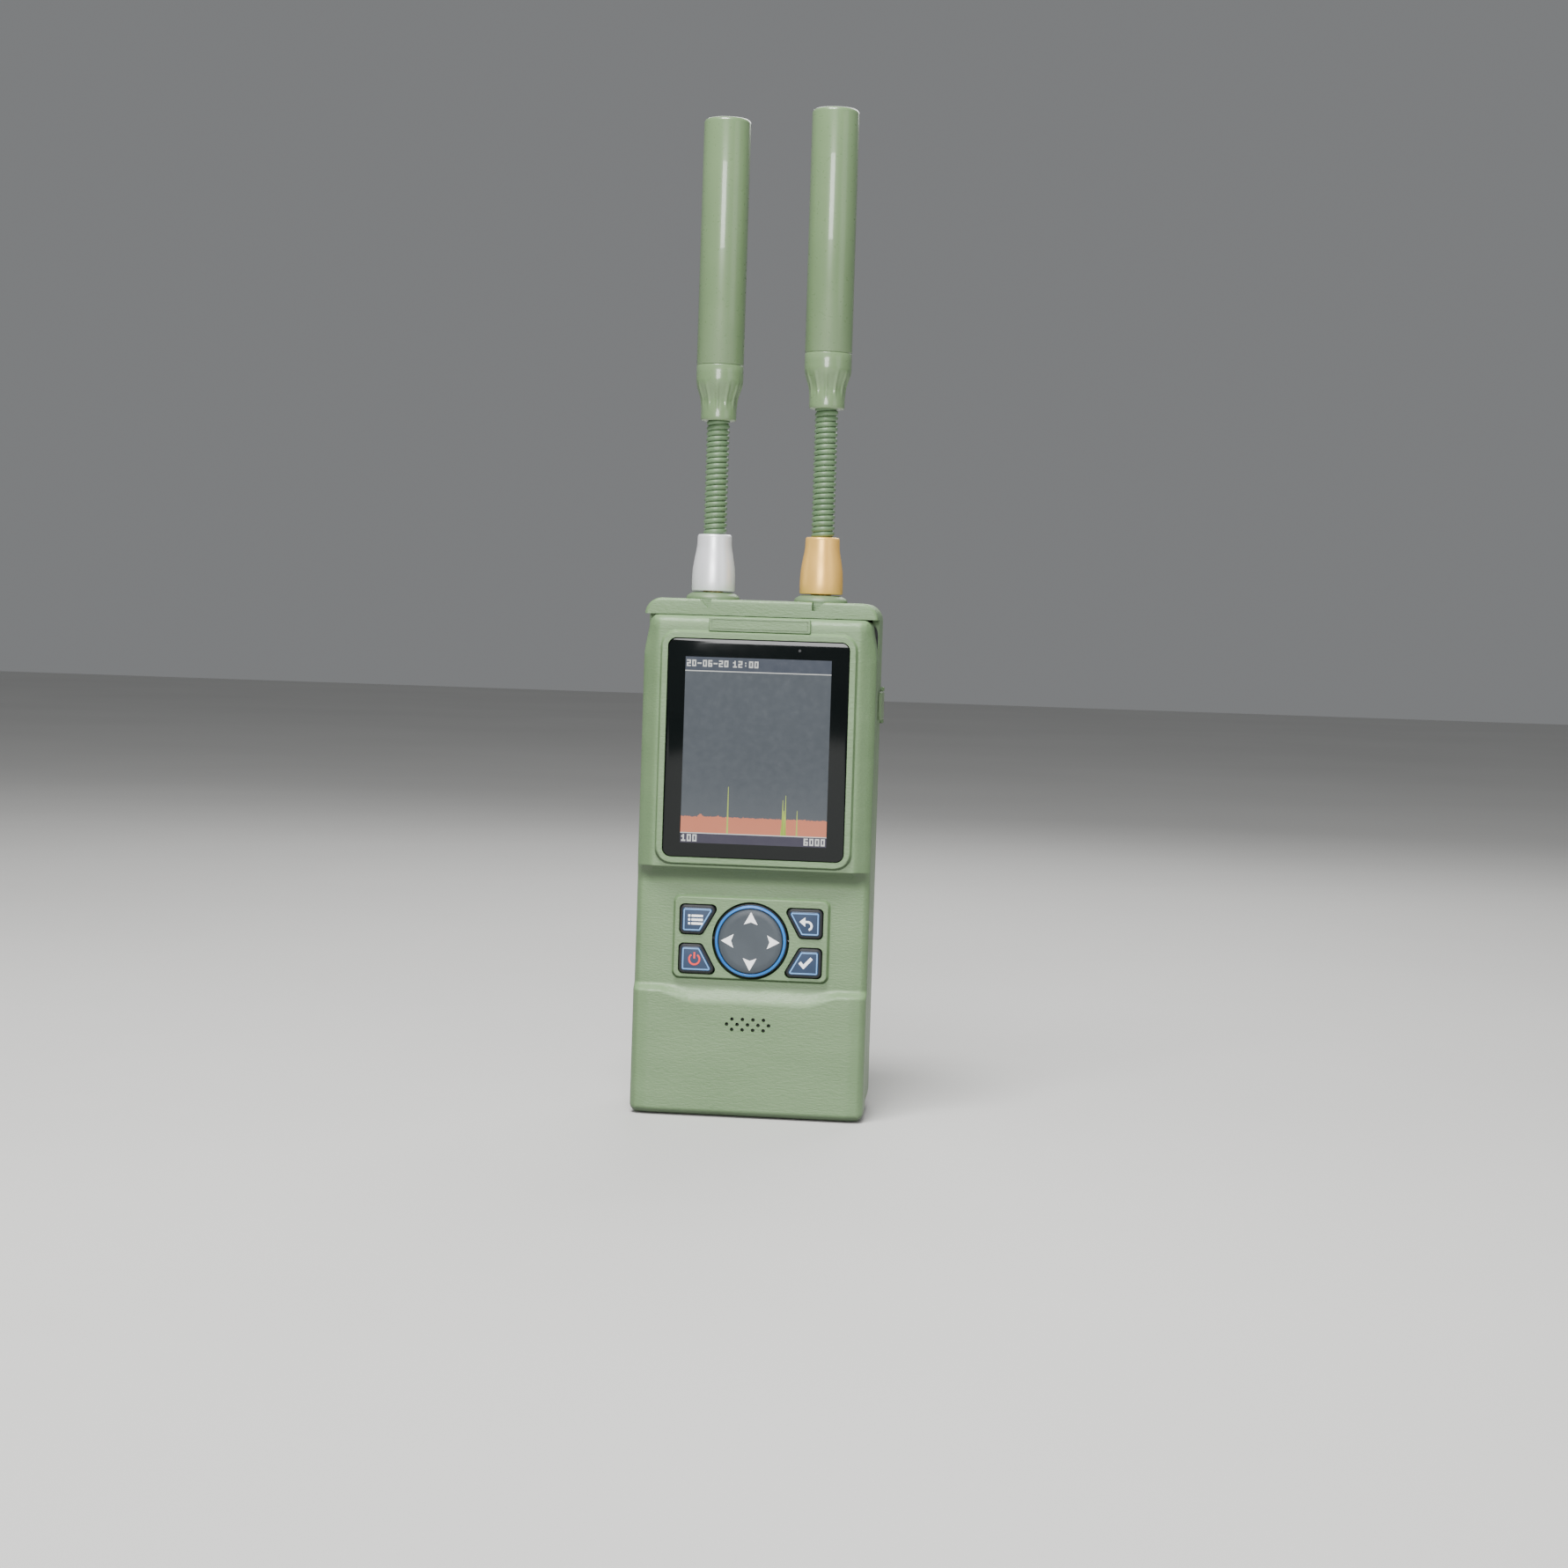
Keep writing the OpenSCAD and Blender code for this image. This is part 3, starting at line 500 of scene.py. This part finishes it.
def cover_mesh():
    """Closed solid of the cover: the modelled face, straight sides and a flat back."""
    reach = side_reach(zs)
    gx = us[None, :] * reach[:, None]
    gz = np.repeat(zs[:, None], len(us), 1)
    gy = face_depth(gx, gz)
    rows, cols = gx.shape
    verts = np.stack([gx, gy, gz], -1).reshape(-1, 3).tolist()
    faces = []
    for i in range(rows - 1):
        for k in range(cols - 1):
            a = i * cols + k
            faces.append((a, a + 1, a + cols + 1, a + cols))
    ring = [k for k in range(cols)] + [i * cols + cols - 1 for i in range(1, rows)]
    ring += [(rows - 1) * cols + k for k in range(cols - 2, -1, -1)]
    ring += [i * cols for i in range(rows - 2, 0, -1)]
    base = len(verts)
    verts += [(verts[i][0], seam_y, verts[i][2]) for i in ring]
    n = len(ring)
    for k in range(n):
        m = (k + 1) % n
        faces.append((ring[k], ring[m], base + m, base + k))
    faces.append(tuple(range(base, base + n)))
    return new_object("front_cover", verts, faces, 40)


def key_outline(sx, sz, grow=0.0):
    """Outline of a corner key; sx and sz pick the corner."""
    r = 1.2
    a = 21.3 - r
    pts = [(14.2 + r, 1.5 + r), (a, 1.5 + r), (a, 10.2 - r), (10.2 + 1.4 * r, 10.2 - r)]
    more = 0.35 if grow <= 0 else 0.0
    middle_x, middle_z = sum(x for x, z in pts) / 4, sum(z for x, z in pts) / 4
    pts = [(x + more * (middle_x - x) / 3.6, z + more * (middle_z - z) / 3.1) for x, z in pts]
    r += more
    pts = [(x * sx, keys_z + z * sz) for x, z in pts]
    if sx * sz < 0:
        pts = pts[::-1]
    return arc_corners(pts, r + grow)


CORNERS = {"menu": (-1, 1), "power": (-1, -1), "back": (1, 1), "ok": (1, -1)}
wall = 2.2
inner_x = half_w - wall
cover = cover_mesh()
tools = [
    outline_tool(
        rect_outline(
            glass_low[0] - 0.15, glass_high[0] + 0.15, glass_low[2] - 0.15, glass_high[2] + 0.15, 2.6
        ),
        rim_y - 1, glass_high[1] + 0.3,
    ),
]
boolean(cover, tools, smooth=40)
inside_top = cover_top - wall
inside = outline_tool(
    [(-inner_x, wall), (inner_x, wall), (inner_x, inside_top), (-inner_x, inside_top)],
    recess_y + wall, seam_y + 1,
)
boolean(cover, [inside], smooth=40)
tools = [bar_tool(0, keys_z, 11.6, rim_y - 1, recess_y + wall + 0.5, 96)]
for sx, sz in CORNERS.values():
    tools.append(outline_tool(key_outline(sx, sz, 0.3), rim_y - 1, recess_y + wall + 0.5))
for row in (-1, 0, 1):
    count = 5 if row == 0 else 4
    for i in range(count):
        hole_x = (i - (count - 1) / 2) * 3.14
        tools.append(bar_tool(hole_x, 27.6 + row * 1.55, 0.55, rim_y, recess_y + wall + 0.5, 20))
boolean(cover, tools, smooth=40)
place(cover, "case", SHELL, ["front_shell"])

plate_low, plate_high = cad_box("nameplate")
nameplate = slab(
    "name_tab", rect_outline(plate_low[0], plate_high[0], plate_low[2], plate_high[2], 0.5),
    plate_low[1], plate_high[1] + 1.2, 0.25,
)
groove = loft("tool", [
    [(x, y, z) for x, z in rect_outline(
        plate_low[0] + q, plate_high[0] - q, plate_low[2] + q * 0.85, plate_high[2] - q * 0.85, 0.3
    )]
    for q, y in (
        (0.7, plate_low[1] - 0.5), (1.0, plate_low[1] - 0.5),
        (1.0, plate_low[1] + 0.22), (0.7, plate_low[1] + 0.22),
    )
], closed=True)
boolean(nameplate, [groove])
place(nameplate, "case", SHELL, ["nameplate"])

# ---------------------------------------------------------------- rear shell

rear_low, rear_high = cad_box("rear_shell")
port_low, port_high = cad_box("usb_port")
port_y, port_z = (port_low[1] + port_high[1]) / 2, (port_low[2] + port_high[2]) / 2
pin_low, pin_high = cad_box("port_pin")
hinge = ((pin_low[0] + pin_high[0]) / 2, (pin_low[1] + pin_high[1]) / 2)
rear_y, back_y, top_z = cad_box("case_seal")[1][1], rear_high[1], rear_high[2]
hood_y = rear_low[1]


def rear_loops(inset_ys, z0, z1):
    return [
        [(x, y, z) for x, z in shrink(rect_outline(-half_w, half_w, z0, z1, 5), q)]
        for q, y in inset_ys
    ]


def rounded_end(y, r, sign, steps=8):
    """(inset, y) pairs of a quarter-round edge that ends at y."""
    out = []
    for k in range(steps + 1):
        a = math.pi / 2 * k / steps
        out.append((r * (1 - math.cos(a)), y - sign * r * (1 - math.sin(a))))
    return out


rear_edges = [(0.25, rear_y), (0, rear_y + 0.25)] + rounded_end(back_y, 3.6, 1)
rear = loft("rear_cover", rear_loops(rear_edges, 0, top_z), 32)
hood_edges = rounded_end(hood_y, 1.0, -1, 5)[::-1] + [(0, rear_y + 1)]
hood = loft("tool", rear_loops(hood_edges, 0, top_z))
boolean(hood, [box_tool((-60, hood_y - 3, -5), (60, rear_y + 3, cad_box("front_shell")[1][2] + 0.2))])
boolean(rear, [hood], "UNION")
tools = [box_tool((-inner_x, rear_y - 0.01, wall), (inner_x, back_y - wall, top_z - wall))]
boolean(rear, tools)
tools = []
for s in (-1, 1):
    notch = [
        (15.1, top_z - 2.6), (16.2, top_z - 2.6), (18.9, top_z + 0.02),
        (19.4, top_z + 2), (15.1, top_z + 2),
    ]
    pts = [(s * x, z) for x, z in notch]
    tools.append(outline_tool(pts if s > 0 else pts[::-1], hood_y - 1, hood_y + 5))
for x in (-29, 29):
    for z in (7, 143.2):
        tools.append(bar_tool(x, z, 2.9, back_y - 4, back_y + 1))
for sx in ("left", "right"):
    low, high = cad_box("sma_" + sx)
    socket_at = ((low[0] + high[0]) / 2, high[1] - 4.4)
    tools.append(lathe("tool", [(3.25, top_z - 4), (3.25, top_z + 2)], socket_at, 48))
tools.append(box_tool((inner_x - 1, port_y - 4.8, port_z - 1.9), (half_w + 1, port_y + 4.8, port_z + 1.9)))
tools.append(box_tool(
    (half_w - 1, hinge[1] - 1.3, port_z - 4.2), (half_w + 1, hinge[1] + 1.3, port_z + 4.2),
))
boolean(rear, tools)
lugs = []
for z in (port_z - 5.6, port_z + 4.2):
    lug = lathe("tool", [(0.7, z), (0.95, z + 0.2), (0.95, z + 1.2), (0.7, z + 1.4)], hinge, 32)
    lugs.append(lug)
boolean(rear, lugs, "UNION")
place(rear, "case", SHELL, ["rear_shell"])

# ---------------------------------------------------------------- display

glass = slab("glass_pane", rect_outline(glass_low[0], glass_high[0], glass_low[2], glass_high[2], 2.4),
             glass_low[1], glass_high[1], 0.25)
place(glass, "case", GLASS, ["screen_glass"])
front = glass_low[1]
lit_x, lit_z0, lit_z1 = 21.8, 81.3, 136.7


def bar_shape(x0, x1, z0, z1):
    return [(x0, z0), (x1, z0), (x1, z1), (x0, z1)]


def film(name, rects, layer, material):
    """Thin flat patches on the display; rects are (x0, x1, z0, z1) or outlines."""
    verts, faces = [], []
    y0 = front - 0.012 * layer
    for r in rects:
        pts = r if isinstance(r[0], tuple) else bar_shape(*r)
        n, a = len(pts), len(verts)
        verts += [(x, y0, z) for x, z in pts] + [(x, y0 + 0.02, z) for x, z in pts]
        faces.append(tuple(range(a, a + n)))
        faces.append(tuple(range(a + n, a + 2 * n)))
        faces += [(a + k, a + (k + 1) % n, a + n + (k + 1) % n, a + n + k) for k in range(n)]
    return place(new_object(name, verts, faces), "case", material)


film("lit_background", [(-lit_x, lit_x, lit_z0, lit_z1)], 1, LIT_BACK)
film("status_bar", [(-lit_x, lit_x, lit_z1 - 4.0, lit_z1)], 2, LIT_BAR)
film("bottom_strip", [(-lit_x, lit_x, lit_z0, lit_z0 + 2.9)], 2, LIT_STRIP)
base_z = lit_z0 + 3.0
rng = np.random.default_rng(7)
columns = np.linspace(-lit_x, lit_x, 241)
noise = base_z + 4.9 + 0.14 * rng.standard_normal(241)
for centre, height, width in ((-16.0, 0.9, 0.6), (-10.6, 0.5, 0.4)):
    noise += height * np.exp(-(((columns - centre) / width) ** 2))
top_edge = list(zip(columns[::-1].tolist(), noise[::-1].tolist()))
film("noise_band", [[(-lit_x, base_z), (lit_x, base_z)] + top_edge], 3, LIT_NOISE)
peaks = []
for centre, height, width in (
    (-7.8, 14.0, 0.28), (8.6, 10.6, 0.34), (9.4, 12.0, 0.3), (8.9, 7.5, 0.9), (12.9, 7.6, 0.24),
):
    peak_z = base_z + height
    peaks.append([
        (centre - width, base_z), (centre + width, base_z),
        (centre + 0.08, peak_z), (centre - 0.08, peak_z),
    ])
film("spectrum_peaks", peaks, 4, LIT_PEAK)
film("screen_lines", [
    (-lit_x, lit_x, lit_z1 - 4.3, lit_z1 - 4.05), (-lit_x, lit_x, base_z - 0.18, base_z + 0.08),
], 5, LIT_LINE)

DIGITS = {
    "0": "111 101 101 101 111", "1": "010 110 010 010 111", "6": "111 100 111 101 111",
    "-": "000 000 111 000 000", ":": "000 010 000 010 000", "2": "111 001 111 100 111",
}


def digits(text, x, z, cell):
    """Small blocks that spell numbers, starting at the left end x and lower edge z."""
    out = []
    for i, ch in enumerate(text):
        for row, bits in enumerate(DIGITS[ch].split()):
            for col, bit in enumerate(bits):
                if bit == "1":
                    px, pz = x + (i * 4 + col) * cell, z + (4 - row) * cell
                    out.append((px, px + cell, pz, pz + cell))
    return out


axis = digits("100", -lit_x + 0.3, lit_z0 + 0.4, 0.42)
axis += digits("6000", lit_x - 6.7, lit_z0 + 0.4, 0.42)
film("axis_numbers", axis, 5, LIT_LINE)
clock = digits("20-06-20", -lit_x + 0.4, lit_z1 - 2.9, 0.4)
clock += digits("12:00", -lit_x + 14.2, lit_z1 - 2.9, 0.4)
film("clock_numbers", clock, 5, LIT_LINE)
sensor = lathe("light_sensor", [(0.05, 0), (0.42, 0), (0.42, 0.02), (0.05, 0.02)], (0, 0), 24)
sensor.data.transform(Matrix.Rotation(math.radians(90), 4, "X"))
sensor.data.transform(Matrix.Translation((12.2, front - 0.005, 139.4)))
place(sensor, "case", DARK)

# ---------------------------------------------------------------- keys

def ribbon(outline, inset, width, front_y, depth=0.12):
    """Loops of a flat band that follows an outline."""
    outer, inner = shrink(outline, inset), shrink(outline, inset + width)
    return [
        [(x, front_y, z) for x, z in outer], [(x, front_y, z) for x, z in inner],
        [(x, front_y + depth, z) for x, z in inner], [(x, front_y + depth, z) for x, z in outer],
    ]


def mark(name, shapes, y, body, material):
    """Printed symbol: flat outlines in (x, z), 0.06 mm thick."""
    verts, faces = [], []
    for pts in shapes:
        n, a = len(pts), len(verts)
        verts += [(x, y, z) for x, z in pts] + [(x, y + 0.06, z) for x, z in pts]
        faces.append(tuple(range(a, a + n)))
        faces.append(tuple(range(a + n, a + 2 * n)))
        faces += [(a + k, a + (k + 1) % n, a + n + (k + 1) % n, a + n + k) for k in range(n)]
    return place(new_object(name, verts, faces), body, material)


def arc_band(cx, cz, r, width, start, end, steps=28):
    """Outline of a curved stroke; angles in degrees."""
    outer, inner = [], []
    for k in range(steps + 1):
        a = math.radians(start + (end - start) * k / steps)
        outer.append((cx + (r + width / 2) * math.cos(a), cz + (r + width / 2) * math.sin(a)))
        inner.append((cx + (r - width / 2) * math.cos(a), cz + (r - width / 2) * math.sin(a)))
    return outer + inner[::-1]


def symbol(kind, cx, cz):
    if kind == "menu":
        rows = (-1.15, 0, 1.15)
        return [bar_shape(cx - 1.2, cx + 2.2, cz + d - 0.33, cz + d + 0.33) for d in rows] + [
            bar_shape(cx - 2.2, cx - 1.55, cz + d - 0.33, cz + d + 0.33) for d in rows
        ]
    if kind == "power":
        stroke = bar_shape(cx - 0.25, cx + 0.25, cz + 0.1, cz + 2.0)
        return [arc_band(cx, cz - 0.1, 1.55, 0.5, 125, 415), stroke]
    if kind == "back":
        hook = arc_band(cx + 0.35, cz - 0.55, 1.2, 0.62, 100, -70)
        head = [(cx - 2.1, cz + 0.65), (cx - 0.35, cz - 0.75), (cx - 0.35, cz + 2.05)]
        stem = bar_shape(cx - 0.5, cx + 0.25, cz + 0.34, cz + 0.96)
        return [hook, head, stem]
    return [[
        (cx - 2.0, cz - 0.1), (cx - 1.35, cz + 0.6), (cx - 0.55, cz - 0.35),
        (cx + 1.55, cz + 1.9), (cx + 2.2, cz + 1.25), (cx - 0.5, cz - 1.7),
    ]]


key_front = cad_box("menu_key")[0][1]
for kind, (sx, sz) in CORNERS.items():
    body = kind + "_button"
    outline = key_outline(sx, sz)
    back = cad_box(kind + "_key")[1][1] - 1.3
    base = slab(kind + "_rubber", outline, key_front + 0.35, back, 0.7)
    place(base, body, RUBBER, [kind + "_key"])
    top = slab(kind + "_cap", shrink(outline, 0.75), key_front + 0.05, key_front + 0.9, 0.35)
    place(top, body, BLUE_KEY)
    band = loft(kind + "_outline", ribbon(outline, 1.12, 0.34, key_front), closed=True)
    place(band, body, LIGHT_BLUE)
    ink = GLOW_RED_PRINT if kind == "power" else GLOW_WHITE_PRINT
    shapes = symbol(kind, sx * 16.6, keys_z + sz * 5.85)
    mark(kind + "_symbol", shapes, key_front - 0.01, body, ink)

nav_low, nav_high = cad_box("nav_pad")
nav_front = nav_low[1]


DISC_ANGLES = [2 * math.pi * k / 128 for k in range(128)]


def disc(name, profile, body, material, replaces=()):
    """Lathe about the key field's Y axis; profile is (radius, y)."""
    loops = []
    for r, y in profile:
        r = max(r, 1e-3)
        ring = [(r * math.cos(a), y, keys_z + r * math.sin(a)) for a in DISC_ANGLES]
        loops.append(ring)
    return place(loft(name, loops, 30), body, material, replaces)


disc("nav_rubber", [
    (0, nav_front + 1.0), (10.3, nav_front + 1.0), (10.75, nav_front + 1.08), (11.0, nav_front + 1.35),
    (11.0, recess_y), (6, recess_y + 0.1), (6, nav_high[1] - 0.4), (0, nav_high[1] - 0.4),
], "nav_button", RUBBER, ["nav_pad"])
disc("nav_ring_band", [
    (9.75, nav_front + 1.1), (9.8, nav_front + 0.62), (10.0, nav_front + 0.44), (10.3, nav_front + 0.5),
    (10.6, nav_front + 0.8), (10.65, nav_front + 1.2),
], "nav_button", RING_BLUE)
disc("nav_disc", [
    (0, nav_front + 0.25), (4, nav_front + 0.22), (7.5, nav_front + 0.12),
    (9.0, nav_front + 0.12), (9.4, nav_front + 0.3), (9.6, nav_front + 0.7),
    (9.6, nav_front + 1.1), (0, nav_front + 1.1),
], "nav_button", NAV)
arrows = []
for a in (0, 90, 180, 270):
    c, s = math.cos(math.radians(a)), math.sin(math.radians(a))
    shape = [(5.0, -2.05), (8.75, 0), (5.0, 2.05), (5.75, 0)]
    arrows.append([(x * c - z * s, keys_z + x * s + z * c) for x, z in shape])
mark("nav_arrows", arrows, nav_front + 0.06, "nav_button", GLOW_WHITE_PRINT)

# ---------------------------------------------------------------- charging flap

flap_low, flap_high = cad_box("port_cover")
flap_loops = []
for q, x in ((0.5, flap_high[0]), (0.2, flap_high[0] - 0.12), (0, flap_high[0] - 0.45), (0, half_w + 0.15)):
    pts = shrink(rect_outline(flap_low[1], 12.6, flap_low[2], flap_high[2], 1.6), q)
    flap_loops.append([(x, y, z) for y, z in pts])
flap = loft("flap_cover", flap_loops, 30)
knuckle = lathe("tool", [
    (0.62, flap_low[2] + 0.5), (0.95, flap_low[2] + 0.5),
    (0.95, flap_high[2] - 0.5), (0.62, flap_high[2] - 0.5),
], hinge, 40, closed=True)
strap = box_tool((half_w + 0.15, 11.6, flap_low[2] + 0.5), (flap_high[0] - 0.3, 13.3, flap_high[2] - 0.5))
plug = box_tool((flap_low[0], port_y - 3.7, port_z - 1), (half_w + 0.4, port_y + 3.7, port_z + 1))
boolean(flap, [strap], "UNION")
boolean(flap, [knuckle], "UNION")
boolean(flap, [plug], "UNION")
place(flap, "port_flap", FLAP, ["port_cover"])

# ---------------------------------------------------------------- antennas

GAPS = {"left": (2, 7, 12, 17), "right": (3, 8, 13, 18)}
PIVOT = {j["name"]: [v * MM for v in j["pos_m"]] for j in frame["joints"] if "pos_m" in j}


def coil_piece(name, at, z0, z1, start, pitch, wire=0.86, ring=2.6):
    """Part of one wound wire from z0 to z1; start is the height of the winding's first end."""
    turns = (z1 - z0) / pitch
    steps = max(8, int(turns * 44))
    loops = []
    for i in range(steps + 1):
        z = z0 + (z1 - z0) * i / steps
        a = 2 * math.pi * (z - start) / pitch
        out = Vector((math.cos(a), math.sin(a), 0))
        along = Vector((-math.sin(a) * ring, math.cos(a) * ring, pitch / (2 * math.pi))).normalized()
        up = out.cross(along)
        centre = Vector((at[0], at[1], z)) + out * ring
        around = (2 * math.pi * k / 14 for k in range(14))
        loops.append([centre + (out * math.cos(t) + up * math.sin(t)) * wire for t in around])
    return loft(name, loops, 50)


for side, tint, slot_name in (("left", SILVER, "silver_nickel"), ("right", GOLD, "gold_plate")):
    low, high = cad_box("coupling_" + side)
    at = ((low[0] + high[0]) / 2, (low[1] + high[1]) / 2)
    base = f"antenna_{side}_base"
    tip = f"antenna_{side}_tip"
    collar_low, collar_high = cad_box("collar_" + side)
    cz, ch = collar_low[2], collar_high[2]
    place(lathe(f"collar_{side}_dome", [
        (3.2, cz), (8.0, cz), (8.15, cz + 0.15), (8.15, cz + 0.5), (7.9, cz + 0.95), (7.4, cz + 1.4),
        (6.7, cz + 1.8), (5.9, ch - 0.08), (5.4, ch), (3.2, ch),
    ], at, closed=True, smooth=40), "case", COLLAR, ["collar_" + side])
    z0, z1 = low[2], high[2]
    place(lathe(f"coupling_{side}_sleeve", [
        (3.4, z0), (6.2, z0), (6.45, z0 + 0.1), (6.55, z0 + 0.4), (6.55, z0 + 3.2),
        (6.5, z0 + 5.2), (6.38, z0 + 7), (6.1, z0 + 9), (5.75, z0 + 11),
        (5.42, z0 + 12.8), (5.25, z0 + 14.2), (5.2, z1 - 0.9), (5.1, z1 - 0.35),
        (4.8, z1 - 0.05), (4.4, z1), (2.7, z1), (2.7, z1 - 1.5), (3.4, z1 - 7),
    ], at, closed=True, smooth=40), base, tint, ["coupling_" + side])

    boot_low, boot_high = cad_box("boot_" + side)
    b0, b1 = boot_low[2], boot_high[2]
    r = boot_high[0] - at[0]

    def ribs(a, z, b0=b0):
        window = math.exp(-(((z - b0 - 7.6) / 3.6) ** 4))
        return 0.34 * window * (max(0.0, math.cos(12 * a)) ** 2 - 0.45)

    shape = [(3.8, b0 + 3), (3.9, b0 + 0.4), (4.4, b0), (5.0, b0), (5.3, b0 + 0.25), (5.4, b0 + 0.6)]
    for k in range(29):
        h = 1.2 + 11.6 * k / 28
        shape.append((5.42 + (r - 5.42) * float(ease((h - 5.4) / 7.2)), b0 + h))
    shape += [(r, b0 + 14.5), (r, b1 - 0.25), (r - 0.12, b1 - 0.08), (r - 0.3, b1), (3.8, b1)]
    boot = lathe(f"boot_{side}_sleeve", shape, at, 144, 40, ribs, closed=True)
    place(boot, tip, GLOSS, ["boot_" + side])

    bar_low, bar_high = cad_box("barrel_" + side)
    t0, t1 = bar_low[2], bar_high[2]
    place(lathe(f"barrel_{side}_tube", [
        (5.9, t0), (r - 0.3, t0), (r - 0.1, t0 + 0.1), (r, t0 + 0.3), (r, t1 - 1.3), (r - 0.1, t1 - 0.8),
        (r - 0.4, t1 - 0.35), (r - 0.85, t1 - 0.08), (r - 1.4, t1), (0, t1), (0, t1 - 1.6), (5.9, t1 - 1.6),
    ], at, smooth=40), tip, GLOSS, ["barrel_" + side])

    pivots = [PIVOT[f"antenna_{side}_bend_{i + 1}"][2] for i in range(4)]
    pitch = (pivots[1] - pivots[0]) / (GAPS[side][1] - GAPS[side][0])
    neck_r = cad_box(f"neck_{side}_1")[1][0] - at[0]
    coil_low = z1 - 0.4
    coil_high = b0 + 2.6
    cuts = [coil_low] + [(pivots[i] + pivots[i + 1]) / 2 for i in range(3)] + [coil_high]
    for i in range(4):
        c0, c1 = cuts[i], cuts[i + 1]
        coil_name = f"neck_{side}_coil_{i + 1}"
        piece = coil_piece(coil_name, at, c0, c1, coil_low, pitch, ring=neck_r - 0.86)
        core = lathe("tool", [(1.9, c0), (2.3, c0), (2.3, c1), (1.9, c1)], at, 32, closed=True)
        join([piece, core])
        place(piece, None, COIL)
        z = pivots[i]
        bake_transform(piece)
        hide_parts(*([f"neck_{side}_{i}"] + ([f"neck_{side}_4"] if i == 3 else [])))

# ---------------------------------------------------------------- CAD pieces that stay as they are

PLAIN = {
    "case_seal": RUBBER, "glass_tape": RUBBER, "lcd_module": DARK, "lcd_flex": BRASS, "nav_gimbal": STEEL,
    "key_domes": STEEL, "main_board": BOARD, "board_screws": STEEL, "rf_board": BOARD, "rf_shield": STEEL,
    "rf_screws": STEEL, "board_link": DARK, "speaker": DARK, "speaker_mesh": DARK, "battery_cells": CELL,
    "battery_holder": DARK, "battery_contacts": STEEL, "charge_board": BOARD, "usb_port": STEEL,
    "port_pin": STEEL,
    "sma_left": BRASS, "sma_right": BRASS, "sma_nuts": STEEL, "case_screws": STEEL,
    "element_left": BOARD, "element_right": BOARD,
}
for node, material in PLAIN.items():
    obj = frame["nodes"][node]
    obj.data.materials.clear()
    obj.data.materials.append(material)

# ---------------------------------------------------------------- studio

FLOOR = finish_material(
    "studio_floor", linear(214, 213, 210), linear(208, 207, 204), 0.7,
    patch=3, grain=60, bump=0.02,
)
floor = new_object("studio_floor", [(-4, -4, 0), (4, -4, 0), (4, 4, 0), (-4, 4, 0)], [(0, 1, 2, 3)])
floor.location.z = cad_low.z - 0.0004
floor.data.materials.append(FLOOR)
floor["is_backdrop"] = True


def area_light(name, at, aim, size, power, colour=(1, 1, 1)):
    data = bpy.data.lights.new(name, "AREA")
    data.shape = "RECTANGLE"
    data.size, data.size_y = size
    data.energy = power
    data.color = colour
    lamp = bpy.data.objects.new(name, data)
    lamp.location = at
    lamp.rotation_euler = (Vector(aim) - Vector(at)).to_track_quat("-Z", "Y").to_euler()
    bpy.context.scene.collection.objects.link(lamp)
    lamp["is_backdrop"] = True


middle = (cad_low + cad_high) / 2
area_light("key_light", (-0.12, -0.4, 1.0), middle, (0.4, 0.3), 17.0)
area_light("fill_light", (0.9, -0.6, 0.25), middle, (0.5, 0.9), 1.6)
area_light("front_strip", (-0.05, -1.3, 0.43), (0, 0, 0.3), (0.46, 0.38), 11.0)
area_light("back_light", (0.1, 0.7, 0.7), middle, (0.6, 0.5), 4.0)

world = bpy.data.worlds.new("studio")
bpy.context.scene.world = world
world.use_nodes = True
world.node_tree.nodes["Background"].inputs["Color"].default_value = (0.86, 0.88, 0.9, 1)
world.node_tree.nodes["Background"].inputs["Strength"].default_value = 0.24

aim = Vector((0, 0, 0.150))
azimuth, roll, distance = math.radians(5.17), math.radians(1.8), 0.812
back = Vector((math.sin(azimuth), -math.cos(azimuth), 0.0))
camera_data = bpy.data.cameras.new("camera")
camera_data.sensor_width = 36
camera_data.lens = 3033 / 1781 * 36
camera_data.shift_x, camera_data.shift_y = 20.8 / 1781, -193 / 1781
camera = bpy.data.objects.new("camera", camera_data)
camera.location = aim + back * distance
turn = (-back).to_track_quat("-Z", "Y").to_matrix().to_4x4()
camera.matrix_world = Matrix.Translation(camera.location) @ turn @ Matrix.Rotation(roll, 4, "Z")
bpy.context.scene.collection.objects.link(camera)
bpy.context.scene.camera = camera

bpy.context.view_layer.update()
low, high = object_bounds()
